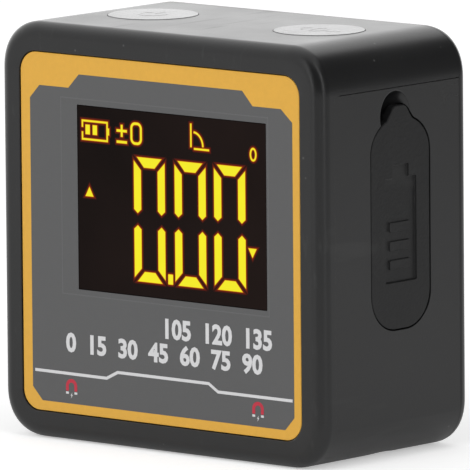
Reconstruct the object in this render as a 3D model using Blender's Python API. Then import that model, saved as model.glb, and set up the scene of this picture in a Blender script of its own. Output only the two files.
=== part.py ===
# Digital angle gauge: a square plastic box with a display, two buttons, a battery door and a magnetic base
#
# The box stands on its base, with +Z up and its display towards -Y.
# The origin is the middle of the base, at the height of the surface that the box stands on.

import math

import bmesh
import bpy
import numpy as np

MM = 0.001

# Box
WIDTH = 60.4 * MM
HEIGHT = 60.0 * MM
DEPTH = 32.5 * MM
CORNER_RADIUS = 6.7 * MM
FRONT_ROUND = 2.1 * MM
REAR_ROUND = 1.9 * MM
WALL = 2.0 * MM
FRONT_WALL = 2.4 * MM
COVER_THICKNESS = 2.1 * MM
SEAM_GAP = 0.25 * MM
SEAT_GAP = 0.3 * MM

# Side insert of the mould: a shallow field around the battery door
INSERT_SET_BACK = 3.05 * MM
INSERT_MARGIN = 6.9 * MM
INSERT_DEPTH = 0.1 * MM

# Base groove and magnets
GROOVE_WIDTH = 11.5 * MM
GROOVE_DEPTH = 0.6 * MM
MAGNET_RADIUS = 4.5 * MM
MAGNET_HEIGHT = 3.0 * MM
MAGNET_INSET = 12.7 * MM
MAGNET_SET_BACK = 0.3 * MM
MAGNET_CLEARANCE = 0.15 * MM
MAGNET_WALL = 1.3 * MM

# Front label
LABEL_MARGIN_X = 4.1 * MM
LABEL_MARGIN_Z = 4.15 * MM
LABEL_OFFSET_X = 0.15 * MM
LABEL_RADIUS = 2.9 * MM
LABEL_THICKNESS = 0.45 * MM
LABEL_SET_BACK = 0.15 * MM
LABEL_CLEARANCE = 0.15 * MM
BORDER_SIDE = 1.75 * MM
BORDER_LOW = 1.5 * MM
BORDER_HIGH = 2.6 * MM
SHOULDER_DROP = 2.1 * MM
SHOULDER_LENGTH = 9.2 * MM
FIELD_CHAMFER = 1.85 * MM

# Display window
WINDOW_MARGIN_LEFT = 14.9 * MM
WINDOW_MARGIN_RIGHT = 10.3 * MM
WINDOW_MARGIN_LOW = 22.35 * MM
WINDOW_MARGIN_HIGH = 11.35 * MM
WINDOW_RADIUS = 0.4 * MM
WINDOW_FLANGE = 0.9 * MM
WINDOW_FLANGE_LEFT = 3.1 * MM
WINDOW_CLEARANCE = 0.1 * MM

# Display module
GLASS_OVERHANG = 1.15 * MM
GLASS_THICKNESS = 1.8 * MM
GLASS_LEDGE = 2.6 * MM
BACKLIGHT_THICKNESS = 2.4 * MM
FRAME_WALL = 1.0 * MM
FRAME_PEG_RADIUS = 0.7 * MM
STRIP_WIDTH = 1.6 * MM

# Main board
BOARD_THICKNESS = 1.2 * MM
BOARD_BOTTOM = 6.6 * MM
BOARD_TOP_DROP = 8.4 * MM
BOARD_SCREW_INSET = 2.3 * MM
BOARD_SCREW_RAISE = 1.0 * MM
BOARD_SCREW_RADIUS = 0.85 * MM
BOARD_SCREW_HEAD_RADIUS = 1.7 * MM
BOARD_SCREW_HEAD_HEIGHT = 1.1 * MM
BOARD_SCREW_LENGTH = 4.5 * MM
STANDOFF_RADIUS = 2.1 * MM
CHIP_ROOM = 2.1 * MM
CHIP_THICKNESS = 1.2 * MM
PROCESSOR_SIZE = 9.0 * MM
SENSOR_SIZE = 4.4 * MM
CHIP_HEIGHT_Z = 13.5 * MM
LINK_PITCH = 2.0 * MM
LINK_PIN = 0.5 * MM
LINK_PINS = 4

# Cells and their tray
CELL_RADIUS = 5.2 * MM
CELL_END_ROOM = 8.1 * MM
CELL_EDGE = 0.5 * MM
CELL_NUB_RADIUS = 1.8 * MM
CELL_NUB_LENGTH = 0.9 * MM
CELL_PITCH = 12.0 * MM
CELL_DROP = 26.1 * MM
CELL_CLEARANCE = 0.25 * MM
TRAY_WALL = 1.0 * MM
TRAY_MOUTH_GAP = 2.3 * MM
CONTACT_THICKNESS = 0.4 * MM
CONTACT_RADIUS = 4.2 * MM
SPRING_LENGTH = 2.0 * MM
SPRING_WIRE = 0.45 * MM
SPRING_TURNS = 3

# Battery door
DOOR_HALF_WIDTH = 6.5 * MM
DOOR_LOW_RADIUS = 6.0 * MM
DOOR_BOTTOM_DROP = 41.55 * MM
DOOR_SHOULDER_DROP = 17.2 * MM
DOOR_TAB_DROP = 9.4 * MM
DOOR_TAB_BASE = 2.45 * MM
DOOR_TAB_TOP = 1.75 * MM
DOOR_TAB_ROUND = 1.2 * MM
DOOR_TAB_LEAN = 20.0
DOOR_THICKNESS = 1.25 * MM
DOOR_SET_BACK = 0.05 * MM
DOOR_EDGE = 0.2 * MM
DOOR_CLEARANCE = 0.25 * MM
LEDGE_WIDTH = 1.2 * MM
LEDGE_THICKNESS = 1.6 * MM
NOTCH_RADIUS = 3.65 * MM
NOTCH_DEPTH = 1.35 * MM
NOTCH_DROP = 10.7 * MM
NOTCH_OFFSET = 0.2 * MM
TONGUE_WIDTH = 3.2 * MM
TONGUE_THICKNESS = 1.0 * MM
TONGUE_REACH = 2.0 * MM
HOOK_GAP = 0.6 * MM
LEG_WIDTH = 3.0 * MM
LEG_THICKNESS = 0.8 * MM
LEG_LENGTH = 4.5 * MM
LEG_GAP = 0.6 * MM
EMBLEM_WIDTH = 6.6 * MM
EMBLEM_HEIGHT = 14.7 * MM
EMBLEM_BOTTOM = 7.0 * MM
EMBLEM_NUB_WIDTH = 3.4 * MM
EMBLEM_NUB_HEIGHT = 1.4 * MM
EMBLEM_DEPTH = 0.45 * MM
EMBLEM_BAR_DROP = 0.1 * MM
EMBLEM_BAR_HEIGHT = 1.35 * MM
EMBLEM_BAR_PITCH = 2.68 * MM
EMBLEM_BAR_RAISE = 1.7 * MM
EMBLEM_BAR_MARGIN = 1.05 * MM
EMBLEM_BARS = 3

# Buttons and switches
BUTTON_RADIUS = 6.45 * MM
BUTTON_INSET = 14.6 * MM
BUTTON_RISE = 0.35 * MM
BUTTON_CLEARANCE = 0.25 * MM
BUTTON_FLANGE = 1.0 * MM
BUTTON_FLANGE_THICKNESS = 1.2 * MM
BUTTON_SKIN = 1.4 * MM
BUTTON_WALL = 1.2 * MM
BUTTON_STEM_RADIUS = 1.6 * MM
BUTTON_BOARD_DROP = 10.2 * MM
BUTTON_BOARD_INSET = 9.2 * MM
BUTTON_BOARD_DEPTH = 12.0 * MM
SWITCH_SIZE = 6.2 * MM
SWITCH_HEIGHT = 3.0 * MM
SWITCH_FLOOR = 0.5 * MM
SWITCH_CHAMBER_HEIGHT = 1.0 * MM
SWITCH_CHAMBER_RADIUS = 2.4 * MM
PLUNGER_RADIUS = 1.65 * MM
PLUNGER_CLEARANCE = 0.2 * MM
PLUNGER_RISE = 0.8 * MM
DOME_THICKNESS = 0.15 * MM

# Rear cover and its screws
BOSS_INSET_X = 4.8 * MM
BOSS_INSET_LOW = 8.2 * MM
BOSS_INSET_HIGH = 9.0 * MM
BOSS_RADIUS = 2.4 * MM
BOSS_SET_BACK = 0.2 * MM
LIP_WIDTH = 1.0 * MM
LIP_HEIGHT = 1.6 * MM
LIP_CLEARANCE = 0.2 * MM
SCREW_HEAD_RADIUS = 2.0 * MM
SCREW_HEAD_HEIGHT = 0.9 * MM
SCREW_SHANK_RADIUS = 1.0 * MM
SCREW_LENGTH = 8.0 * MM
SCREW_CLEARANCE = 0.2 * MM
RIB_THICKNESS = 1.2 * MM

# Facets
CORNER_STEPS = 8
EDGE_STEPS = 6
ROUND_STEPS = 40
SMALL_STEPS = 20
PIN_STEPS = 16

# How far a cutter runs past the wall that it cuts, and how far an added shape runs into the wall it joins
OVERRUN = 1.0 * MM
OVERLAP = 0.4 * MM

# Planes worked out from the sizes above, from the front backwards
front_y = -DEPTH / 2
rear_y = DEPTH / 2
seam_y = rear_y - COVER_THICKNESS
housing_back_y = seam_y - SEAM_GAP / 2
cover_front_y = seam_y + SEAM_GAP / 2
label_front_y = front_y + LABEL_SET_BACK
label_back_y = label_front_y + LABEL_THICKNESS
pocket_y = label_back_y + SEAT_GAP
front_inner_y = front_y + FRONT_WALL
glass_front_y = front_inner_y + SEAT_GAP
glass_back_y = glass_front_y + GLASS_THICKNESS
backlight_front_y = glass_back_y + SEAT_GAP
backlight_back_y = backlight_front_y + BACKLIGHT_THICKNESS
board_front_y = backlight_back_y + 2 * SEAT_GAP
board_back_y = board_front_y + BOARD_THICKNESS
tray_front_y = board_back_y + CHIP_ROOM
mid_y = tray_front_y + TRAY_WALL + CELL_CLEARANCE + CELL_RADIUS
tray_back_y = 2 * mid_y - tray_front_y

# Planes across the box
half_width = WIDTH / 2
inner_x = half_width - WALL
ceiling_z = HEIGHT - WALL
button_x = half_width - BUTTON_INSET
magnet_x = half_width - MAGNET_INSET
stake_x = button_x / 2
boss_x = half_width - BOSS_INSET_X
boss_heights = (BOSS_INSET_LOW, HEIGHT - BOSS_INSET_HIGH)
window_z = (WINDOW_MARGIN_LOW + HEIGHT - WINDOW_MARGIN_HIGH) / 2
cell_length = WIDTH - 2 * CELL_END_ROOM
cells_z = HEIGHT - CELL_DROP
cell_heights = (cells_z - CELL_PITCH / 2, cells_z + CELL_PITCH / 2)
bore_radius = CELL_RADIUS + CELL_CLEARANCE
tray_bottom_z = cell_heights[0] - bore_radius - TRAY_WALL
tray_top_z = cell_heights[1] + bore_radius + TRAY_WALL

# Battery door, from its face inwards
door_face_x = half_width - INSERT_DEPTH - DOOR_SET_BACK
door_back_x = door_face_x - DOOR_THICKNESS
ledge_x = door_back_x - SEAT_GAP
ledge_back_x = ledge_x - LEDGE_THICKNESS
door_contact_x = door_back_x - SEAT_GAP
door_bottom_z = HEIGHT - DOOR_BOTTOM_DROP
door_shoulder_z = HEIGHT - DOOR_SHOULDER_DROP
door_top_z = HEIGHT - DOOR_TAB_DROP
upper_cell_end_x = door_contact_x - CONTACT_THICKNESS - SEAT_GAP
upper_cell_start_x = upper_cell_end_x - cell_length
inner_contact_x = upper_cell_start_x - SEAT_GAP - SPRING_LENGTH
lower_cell_start_x = inner_contact_x + SEAT_GAP
lower_cell_end_x = lower_cell_start_x + cell_length
tray_end_x = inner_contact_x - CONTACT_THICKNESS - SEAT_GAP
tray_left_x = tray_end_x - TRAY_WALL
tray_mouth_x = ledge_back_x - TRAY_MOUTH_GAP

# Buttons, from the top down
button_top_z = HEIGHT + BUTTON_RISE
flange_top_z = ceiling_z - SEAT_GAP
flange_bottom_z = flange_top_z - BUTTON_FLANGE_THICKNESS
flange_radius = BUTTON_RADIUS + BUTTON_CLEARANCE + BUTTON_FLANGE
button_board_top_z = HEIGHT - BUTTON_BOARD_DROP
button_board_bottom_z = button_board_top_z - BOARD_THICKNESS
switch_bottom_z = button_board_top_z + SEAT_GAP
switch_top_z = switch_bottom_z + SWITCH_HEIGHT
plunger_top_z = switch_top_z + PLUNGER_RISE
stem_bottom_z = plunger_top_z + SEAT_GAP
chamber_bottom_z = switch_bottom_z + SWITCH_FLOOR
chamber_top_z = chamber_bottom_z + SWITCH_CHAMBER_HEIGHT

# Main board between the cover's screw bosses
board_half_width = boss_x - BOSS_RADIUS - 2 * SEAT_GAP
board_top_z = HEIGHT - BOARD_TOP_DROP
board_screw_x = board_half_width - BOARD_SCREW_INSET
board_screw_z = BOARD_BOTTOM + BOARD_SCREW_INSET + BOARD_SCREW_RAISE
board_screws = (
    ("board_screw_left", -board_screw_x, board_screw_z),
    ("board_screw_right", board_screw_x, board_screw_z),
    ("board_screw_upper", -board_screw_x, board_top_z - BOARD_SCREW_INSET),
)

# Finishes: colour, roughness, metallic
FINISHES = {
    "black_plastic": ((0.045, 0.046, 0.048), 0.45, 0.0),
    "door_plastic": ((0.030, 0.030, 0.032), 0.60, 0.0),
    "button_plastic": ((0.070, 0.071, 0.074), 0.35, 0.0),
    "label_orange": ((0.760, 0.420, 0.060), 0.40, 0.0),
    "label_grey": ((0.115, 0.116, 0.120), 0.45, 0.0),
    "window_plastic": ((0.012, 0.009, 0.008), 0.12, 0.0),
    "display_glass": ((0.020, 0.018, 0.016), 0.10, 0.0),
    "light_guide": ((0.850, 0.720, 0.250), 0.35, 0.0),
    "white_plastic": ((0.700, 0.700, 0.680), 0.50, 0.0),
    "contact_rubber": ((0.350, 0.120, 0.130), 0.70, 0.0),
    "board_green": ((0.020, 0.160, 0.060), 0.40, 0.0),
    "chip_black": ((0.020, 0.020, 0.022), 0.50, 0.0),
    "tray_plastic": ((0.030, 0.030, 0.030), 0.60, 0.0),
    "cell_jacket": ((0.120, 0.125, 0.130), 0.30, 0.4),
    "contact_metal": ((0.720, 0.700, 0.640), 0.25, 1.0),
    "magnet_nickel": ((0.620, 0.610, 0.590), 0.25, 1.0),
    "screw_steel": ((0.180, 0.180, 0.190), 0.35, 1.0),
}


# Scene and materials

def clear_scene():
    for item in list(bpy.data.objects):
        bpy.data.objects.remove(item, do_unlink=True)


def finish(name):
    """Return the named material, made once."""
    material = bpy.data.materials.get(name)
    if material is None:
        colour, roughness, metallic = FINISHES[name]
        material = bpy.data.materials.new(name)
        material.use_nodes = True
        shader = material.node_tree.nodes["Principled BSDF"]
        shader.inputs["Base Color"].default_value = (*colour, 1.0)
        shader.inputs["Roughness"].default_value = roughness
        shader.inputs["Metallic"].default_value = metallic
        material.diffuse_color = (*colour, 1.0)
    return material


# Outlines: lists of two coordinates, counter-clockwise

def arc(centre, radius, start, end, steps):
    """Points on an arc, its ends included; the angles are in degrees."""
    angles = np.radians(np.linspace(start, end, steps + 1))
    return [(centre[0] + radius * math.cos(a), centre[1] + radius * math.sin(a)) for a in angles]


def rounded_outline(low, high, radius, steps=CORNER_STEPS):
    """A rectangle between two corners, with round corners."""
    (u0, v0), (u1, v1) = low, high
    points = arc((u1 - radius, v0 + radius), radius, -90, 0, steps)
    points += arc((u1 - radius, v1 - radius), radius, 0, 90, steps)
    points += arc((u0 + radius, v1 - radius), radius, 90, 180, steps)
    points += arc((u0 + radius, v0 + radius), radius, 180, 270, steps)
    return points


def box_outline(inset=0.0):
    """The box's outline across its depth, shrunk all round by an inset."""
    low = (-half_width + inset, inset)
    high = (half_width - inset, HEIGHT - inset)
    return rounded_outline(low, high, CORNER_RADIUS - inset)


def door_outline(grow, with_tab=True):
    """The door's outline in (y, z): straight sides, round ends and a snap tab on top."""
    half = DOOR_HALF_WIDTH + grow
    low_radius = DOOR_LOW_RADIUS + grow
    flat = half - low_radius
    bottom = door_bottom_z - grow
    points = arc((mid_y + flat, bottom + low_radius), low_radius, -90, 0, CORNER_STEPS)
    shoulder = (mid_y, door_shoulder_z)
    if with_tab:
        base = DOOR_TAB_BASE + grow
        tip = DOOR_TAB_TOP + grow
        corner = DOOR_TAB_ROUND + grow
        top = door_top_z + grow
        reach = math.degrees(math.acos(base / half))
        points += arc(shoulder, half, 0, reach, CORNER_STEPS)
        points += arc((mid_y + tip - corner, top - corner), corner, DOOR_TAB_LEAN, 90, 4)
        points += arc((mid_y - tip + corner, top - corner), corner, 90, 180 - DOOR_TAB_LEAN, 4)
        points += arc(shoulder, half, 180 - reach, 180, CORNER_STEPS)
    else:
        points += arc(shoulder, half, 0, 180, 2 * CORNER_STEPS)
    points += arc((mid_y - flat, bottom + low_radius), low_radius, 180, 270, CORNER_STEPS)
    return points


# Solids

def to_space(axis, u, v, t):
    """Turn two coordinates across an axis and one along it into a place."""
    return {"X": (t, u, v), "Y": (u, t, v), "Z": (u, v, t)}[axis]


def mesh_object(name, vertices, faces):
    """A mesh object from points and faces, with its faces pointing out and doubled points merged."""
    mesh = bpy.data.meshes.new(name)
    body = bmesh.new()
    corners = [body.verts.new(point) for point in vertices]
    for face in faces:
        body.faces.new([corners[i] for i in face])
    bmesh.ops.remove_doubles(body, verts=body.verts, dist=0.000001)
    bmesh.ops.recalc_face_normals(body, faces=body.faces)
    body.to_mesh(mesh)
    body.free()
    item = bpy.data.objects.new(name, mesh)
    bpy.context.scene.collection.objects.link(item)
    return item


def loft(name, axis, sections):
    """A solid through outlines of equal length, each at its own place along the axis."""
    count = len(sections[0][0])
    vertices = [to_space(axis, u, v, t) for outline, t in sections for u, v in outline]
    faces = []
    for level in range(len(sections) - 1):
        for i in range(count):
            j = (i + 1) % count
            a, b = level * count, (level + 1) * count
            faces.append((a + i, a + j, b + j, b + i))
    faces.append(tuple(range(count)))
    faces.append(tuple(range((len(sections) - 1) * count, len(sections) * count)))
    return mesh_object(name, vertices, faces)


def prism(name, axis, outline, start, end):
    """An outline drawn out straight along an axis."""
    return loft(name, axis, [(outline, start), (outline, end)])


def block(name, low, high):
    """A box between two corners."""
    outline = [(low[0], low[1]), (high[0], low[1]), (high[0], high[1]), (low[0], high[1])]
    return prism(name, "Z", outline, low[2], high[2])


def turned(name, axis, centre, profile, steps=ROUND_STEPS):
    """A solid turned about a line along an axis; the profile's points are (radius, place along the axis).

    A profile that starts or ends flat on the axis gets one flat cap there instead of a fan of triangles.
    """
    angles = np.radians(np.arange(steps) * 360.0 / steps)
    flat_start = profile[0][0] == 0.0 and profile[0][1] == profile[1][1]
    flat_end = profile[-1][0] == 0.0 and profile[-1][1] == profile[-2][1]
    profile = profile[int(flat_start):len(profile) - int(flat_end)]
    vertices, rings = [], []
    for radius, place in profile:
        if radius == 0.0:
            rings.append([len(vertices)] * steps)
            vertices.append(to_space(axis, centre[0], centre[1], place))
        else:
            rings.append(list(range(len(vertices), len(vertices) + steps)))
            for a in angles:
                u = centre[0] + radius * math.cos(a)
                v = centre[1] + radius * math.sin(a)
                vertices.append(to_space(axis, u, v, place))
    faces = []
    for low, high in zip(rings, rings[1:]):
        for i in range(steps):
            j = (i + 1) % steps
            face = (low[i], low[j], high[j], high[i])
            unique = tuple(dict.fromkeys(face))
            if len(unique) > 2:
                faces.append(unique)
    if flat_start:
        faces.append(tuple(rings[0]))
    if flat_end:
        faces.append(tuple(rings[-1]))
    return mesh_object(name, vertices, faces)


def rod(name, axis, centre, radius, start, end, steps=SMALL_STEPS):
    """A plain round bar along an axis."""
    return turned(name, axis, centre, [(0.0, start), (radius, start), (radius, end), (0.0, end)], steps)


def stepped_pin(name, axis, centre, radius, start, shoulder, end):
    """A post with a pin of half its radius on top, to go through a hole in a board."""
    profile = [(0.0, start), (radius, start), (radius, shoulder), (radius / 2, shoulder), (radius / 2, end),
               (0.0, end)]
    return turned(name, axis, centre, profile, PIN_STEPS)


def coil(name, centre, start_x, end_x):
    """A tapered contact spring along X: a round wire carried along a helix whose radius shrinks."""
    wide, narrow = CONTACT_RADIUS - 2 * SPRING_WIRE, CELL_NUB_RADIUS
    per_turn, around = 10, 6
    count = SPRING_TURNS * per_turn + 1
    share = np.linspace(0.0, 1.0, count)
    angle = share * SPRING_TURNS * 2 * math.pi
    radius = wide + (narrow - wide) * share
    path = np.stack([start_x + (end_x - start_x) * share,
                     centre[0] + radius * np.cos(angle),
                     centre[1] + radius * np.sin(angle)], axis=1)
    along = np.gradient(path, axis=0)
    along /= np.linalg.norm(along, axis=1)[:, None]
    outward = np.stack([np.zeros(count), np.cos(angle), np.sin(angle)], axis=1)
    outward -= np.sum(outward * along, axis=1)[:, None] * along
    outward /= np.linalg.norm(outward, axis=1)[:, None]
    across = np.cross(along, outward)
    turn = np.arange(around) * 2 * math.pi / around
    ring = outward[:, None] * np.cos(turn)[None, :, None] + across[:, None] * np.sin(turn)[None, :, None]
    points = (path[:, None] + ring * SPRING_WIRE / 2).reshape(-1, 3)
    faces = []
    for level in range(count - 1):
        for i in range(around):
            j = (i + 1) % around
            a, b = level * around, (level + 1) * around
            faces.append((a + i, a + j, b + j, b + i))
    faces.append(tuple(range(around)))
    faces.append(tuple(range((count - 1) * around, count * around)))
    return mesh_object(name, points.tolist(), faces)


def shape(target, operation, tools):
    """Join tools to a solid (UNION) or cut them out of it (DIFFERENCE), one after another."""
    for tool in tools:
        tool.hide_render = True
        tool.display_type = "WIRE"
        step = target.modifiers.new(tool.name, "BOOLEAN")
        step.solver = "EXACT"
        step.operation = operation
        step.object = tool
    bpy.context.view_layer.update()
    evaluated = target.evaluated_get(bpy.context.evaluated_depsgraph_get())
    worked = bpy.data.meshes.new_from_object(evaluated)
    target.modifiers.clear()
    target.data = worked
    for tool in tools:
        bpy.data.objects.remove(tool, do_unlink=True)


def complete(item, material, smooth_angle=35.0):
    """Give a finished piece its material and smooth its round faces."""
    if not item.data.materials:
        item.data.materials.append(finish(material))
    item.data.shade_smooth()
    item.data.set_sharp_from_angle(angle=math.radians(smooth_angle))


def set_origin(item, place):
    """Move a piece's origin to a place and leave its shape where it is."""
    for vertex in item.data.vertices:
        vertex.co = [vertex.co[i] - place[i] for i in range(3)]
    item.location = place


# Housing and cover

def edge_sections(radius, start, direction):
    """Sections that round the box's edge: the outline grows along a quarter circle."""
    sections = []
    for step in range(EDGE_STEPS + 1):
        angle = math.radians(90.0 * step / EDGE_STEPS)
        shrink = radius * (1 - math.sin(angle))
        along = radius * (1 - math.cos(angle))
        sections.append((box_outline(shrink), start + direction * along))
    return sections


def magnet_places():
    return [(side, (side * magnet_x, mid_y)) for side in (-1, 1)]


def housing_additions():
    """Ribs, bosses and posts that stand inside the shell."""
    parts = []
    inside_y = front_inner_y - OVERLAP
    for z in boss_heights:
        for side in (-1, 1):
            parts.append(rod(f"boss {side} {z:.4f}", "Y", (side * boss_x, z), BOSS_RADIUS, inside_y,
                             housing_back_y - BOSS_SET_BACK))
    for name, x, z in board_screws:
        parts.append(rod(f"post {name}", "Y", (x, z), STANDOFF_RADIUS, inside_y, board_front_y - SEAT_GAP))
    for side, centre in magnet_places():
        top = GROOVE_DEPTH + MAGNET_SET_BACK + MAGNET_HEIGHT + SEAT_GAP + MAGNET_WALL
        parts.append(rod(f"magnet boss {side}", "Z", centre, MAGNET_RADIUS + MAGNET_CLEARANCE + MAGNET_WALL,
                         WALL - OVERLAP, top, ROUND_STEPS))
    for side in (-1, 1):
        x = (side * magnet_x - RIB_THICKNESS) / 2
        parts.append(block(f"cradle {side}", (x, tray_front_y + TRAY_WALL, WALL - OVERLAP),
                           (x + RIB_THICKNESS, tray_back_y - TRAY_WALL, tray_bottom_z - SEAT_GAP)))
    parts.append(block("end stop", (-inner_x - OVERLAP, mid_y - RIB_THICKNESS / 2, cell_heights[0]),
                       (tray_left_x - SEAT_GAP, mid_y + RIB_THICKNESS / 2, cell_heights[1])))
    parts.append(prism("door surround", "X", door_outline(LEDGE_WIDTH + DOOR_CLEARANCE), ledge_back_x,
                       inner_x + OVERLAP))
    return parts


def groove_cutter():
    """A shallow V with a soft bottom, drawn out along the whole base."""
    half = GROOVE_WIDTH / 2
    outline = [(mid_y - half - OVERRUN, -OVERRUN), (mid_y + half + OVERRUN, -OVERRUN)]
    for share in np.linspace(1.0, -1.0, 13):
        outline.append((mid_y + half * share, GROOVE_DEPTH * 0.5 * (1 + math.cos(math.pi * share)) - 0.00001))
    return prism("groove", "X", outline, -half_width - OVERRUN, half_width + OVERRUN)


def housing_cuts():
    """Pockets, openings and screw holes of the shell."""
    cuts = [groove_cutter()]
    low, high = label_corners(LABEL_CLEARANCE)
    cuts.append(prism("label pocket", "Y", rounded_outline(low, high, LABEL_RADIUS + LABEL_CLEARANCE),
                      front_y - OVERRUN, pocket_y))
    low, high = window_flange_corners(WINDOW_CLEARANCE)
    cuts.append(prism("display opening", "Y", rounded_outline(low, high, WINDOW_RADIUS), front_y - OVERRUN,
                      front_inner_y + OVERRUN))
    for side in (-1, 1):
        cuts.append(rod(f"button hole {side}", "Z", (side * button_x, mid_y),
                        BUTTON_RADIUS + BUTTON_CLEARANCE, ceiling_z - OVERRUN, HEIGHT + OVERRUN, ROUND_STEPS))
    for side, centre in magnet_places():
        cuts.append(rod(f"magnet pocket {side}", "Z", centre, MAGNET_RADIUS + MAGNET_CLEARANCE, -OVERRUN,
                        GROOVE_DEPTH + MAGNET_SET_BACK + MAGNET_HEIGHT + SEAT_GAP, ROUND_STEPS))
    for z in boss_heights:
        for side in (-1, 1):
            cuts.append(rod(f"boss hole {side} {z:.4f}", "Y", (side * boss_x, z),
                            SCREW_SHANK_RADIUS + SCREW_CLEARANCE / 2, housing_back_y - SCREW_LENGTH,
                            housing_back_y + OVERRUN, PIN_STEPS))
    for name, x, z in board_screws:
        cuts.append(rod(f"post hole {name}", "Y", (x, z), BOARD_SCREW_RADIUS + SCREW_CLEARANCE / 2,
                        board_back_y - BOARD_SCREW_LENGTH, board_front_y + OVERRUN, PIN_STEPS))
    cuts.append(block("side insert", (half_width - INSERT_DEPTH, front_y + INSERT_SET_BACK, INSERT_MARGIN),
                      (half_width + OVERRUN, housing_back_y + OVERRUN, HEIGHT - INSERT_MARGIN)))
    cuts.append(prism("door seat", "X", door_outline(DOOR_CLEARANCE), ledge_x, half_width + OVERRUN))
    cuts.append(prism("door way", "X", door_outline(-LEDGE_WIDTH, with_tab=False), ledge_back_x - OVERRUN,
                      half_width))
    cuts.append(notch_cutter())
    return cuts


def notch_cutter():
    """The thumb notch above the door: half of a flattened ball."""
    surface = half_width - INSERT_DEPTH
    profile = [(0.0, surface - NOTCH_DEPTH)]
    for angle in np.linspace(80, 0, 9):
        a = math.radians(angle)
        profile.append((NOTCH_RADIUS * math.cos(a), surface - NOTCH_DEPTH * math.sin(a)))
    profile += [(NOTCH_RADIUS, half_width + OVERRUN), (0.0, half_width + OVERRUN)]
    return turned("notch", "X", (mid_y - NOTCH_OFFSET, HEIGHT - NOTCH_DROP), profile, 32)


def make_front_housing():
    """The moulded shell: front, sides, top and base in one piece, open at the back."""
    sections = edge_sections(FRONT_ROUND, front_y, 1)
    sections.append((box_outline(), housing_back_y))
    shell = loft("front_housing", "Y", sections)
    cavity = rounded_outline((-inner_x, WALL), (inner_x, ceiling_z), CORNER_RADIUS - WALL)
    shape(shell, "DIFFERENCE", [prism("cavity", "Y", cavity, front_inner_y, housing_back_y + OVERRUN)])
    shape(shell, "UNION", housing_additions())
    shape(shell, "DIFFERENCE", housing_cuts())
    complete(shell, "black_plastic")


def make_rear_cover():
    """The flat back, with a lip that centres it in the shell and ribs that hold the battery tray."""
    sections = [(box_outline(), cover_front_y)]
    sections += reversed(edge_sections(REAR_ROUND, rear_y, -1))
    cover = loft("rear_cover", "Y", sections)
    gap = WALL + LIP_CLEARANCE
    lip_start = cover_front_y - LIP_HEIGHT
    corner = (inner_x - LIP_CLEARANCE, ceiling_z - LIP_CLEARANCE)
    outline = rounded_outline((-corner[0], gap), corner, CORNER_RADIUS - gap)
    lip = prism("lip", "Y", outline, lip_start, cover_front_y + OVERLAP)
    inside = rounded_outline((-corner[0] + LIP_WIDTH, gap + LIP_WIDTH),
                             (corner[0] - LIP_WIDTH, corner[1] - LIP_WIDTH), CORNER_RADIUS - gap - LIP_WIDTH)
    clear = [prism("lip inside", "Y", inside, lip_start - OVERRUN, cover_front_y)]
    for z in boss_heights:
        for side in (-1, 1):
            clear.append(rod(f"lip gap {side} {z:.4f}", "Y", (side * boss_x, z), BOSS_RADIUS + 2 * SEAT_GAP,
                             lip_start - OVERRUN, cover_front_y, PIN_STEPS))
    shape(lip, "DIFFERENCE", clear)
    ribs = []
    for z in cell_heights:
        low = (tray_left_x + BOSS_RADIUS, tray_back_y + SEAT_GAP, z - RIB_THICKNESS / 2)
        high = (tray_mouth_x - BOSS_RADIUS, cover_front_y + OVERLAP, z + RIB_THICKNESS / 2)
        ribs.append(block(f"rib {z:.4f}", low, high))
    shape(cover, "UNION", [lip] + ribs)
    holes = []
    for z in boss_heights:
        for side in (-1, 1):
            place = (side * boss_x, z)
            holes.append(rod(f"head {side} {z:.4f}", "Y", place, SCREW_HEAD_RADIUS + SCREW_CLEARANCE,
                             rear_y - SCREW_HEAD_HEIGHT - SEAT_GAP, rear_y + OVERRUN))
            holes.append(rod(f"shank {side} {z:.4f}", "Y", place, SCREW_SHANK_RADIUS + SCREW_CLEARANCE,
                             cover_front_y - OVERRUN, rear_y, PIN_STEPS))
    for side in (-1, 1):
        holes.append(rod(f"flange room {side}", "Z", (side * button_x, mid_y), flange_radius + SEAT_GAP,
                         flange_bottom_z - SEAT_GAP, ceiling_z))
    shape(cover, "DIFFERENCE", holes)
    complete(cover, "black_plastic")


def screw(name, place, head_face_y, head_radius, head_height, shank_radius, length):
    """A pan screw along Y with its head towards +Y and a cross slot in it; the fine thread is left out."""
    edge = head_height * 0.3
    seat = head_face_y - head_height
    tip = seat - length
    profile = [(0.0, tip), (shank_radius * 0.7, tip), (shank_radius, tip + shank_radius), (shank_radius, seat),
               (head_radius, seat), (head_radius, head_face_y - edge), (head_radius - edge, head_face_y),
               (0.0, head_face_y)]
    item = turned(name, "Y", place, profile, 12)
    slot, arm = head_radius * 0.13, head_radius * 0.62
    deep = head_face_y - head_height * 0.6
    x, z = place
    shape(item, "DIFFERENCE", [
        block("slot across", (x - arm, deep, z - slot), (x + arm, head_face_y + OVERRUN, z + slot)),
        block("slot up", (x - slot, deep, z - arm), (x + slot, head_face_y + OVERRUN, z + arm)),
    ])
    complete(item, "screw_steel")


def make_cover_screws():
    for level, z in zip(("lower", "upper"), boss_heights):
        for side_name, side in (("left", -1), ("right", 1)):
            screw(f"cover_screw_{level}_{side_name}", (side * boss_x, z), rear_y, SCREW_HEAD_RADIUS,
                  SCREW_HEAD_HEIGHT, SCREW_SHANK_RADIUS, SCREW_LENGTH - COVER_THICKNESS)


def make_magnets():
    bottom = GROOVE_DEPTH + MAGNET_SET_BACK
    edge = MAGNET_CLEARANCE
    for name, (side, centre) in zip(("magnet_left", "magnet_right"), magnet_places()):
        profile = [(0.0, bottom), (MAGNET_RADIUS - edge, bottom), (MAGNET_RADIUS, bottom + edge),
                   (MAGNET_RADIUS, bottom + MAGNET_HEIGHT), (0.0, bottom + MAGNET_HEIGHT)]
        magnet = turned(name, "Z", centre, profile)
        complete(magnet, "magnet_nickel")


# Label and display

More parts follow.
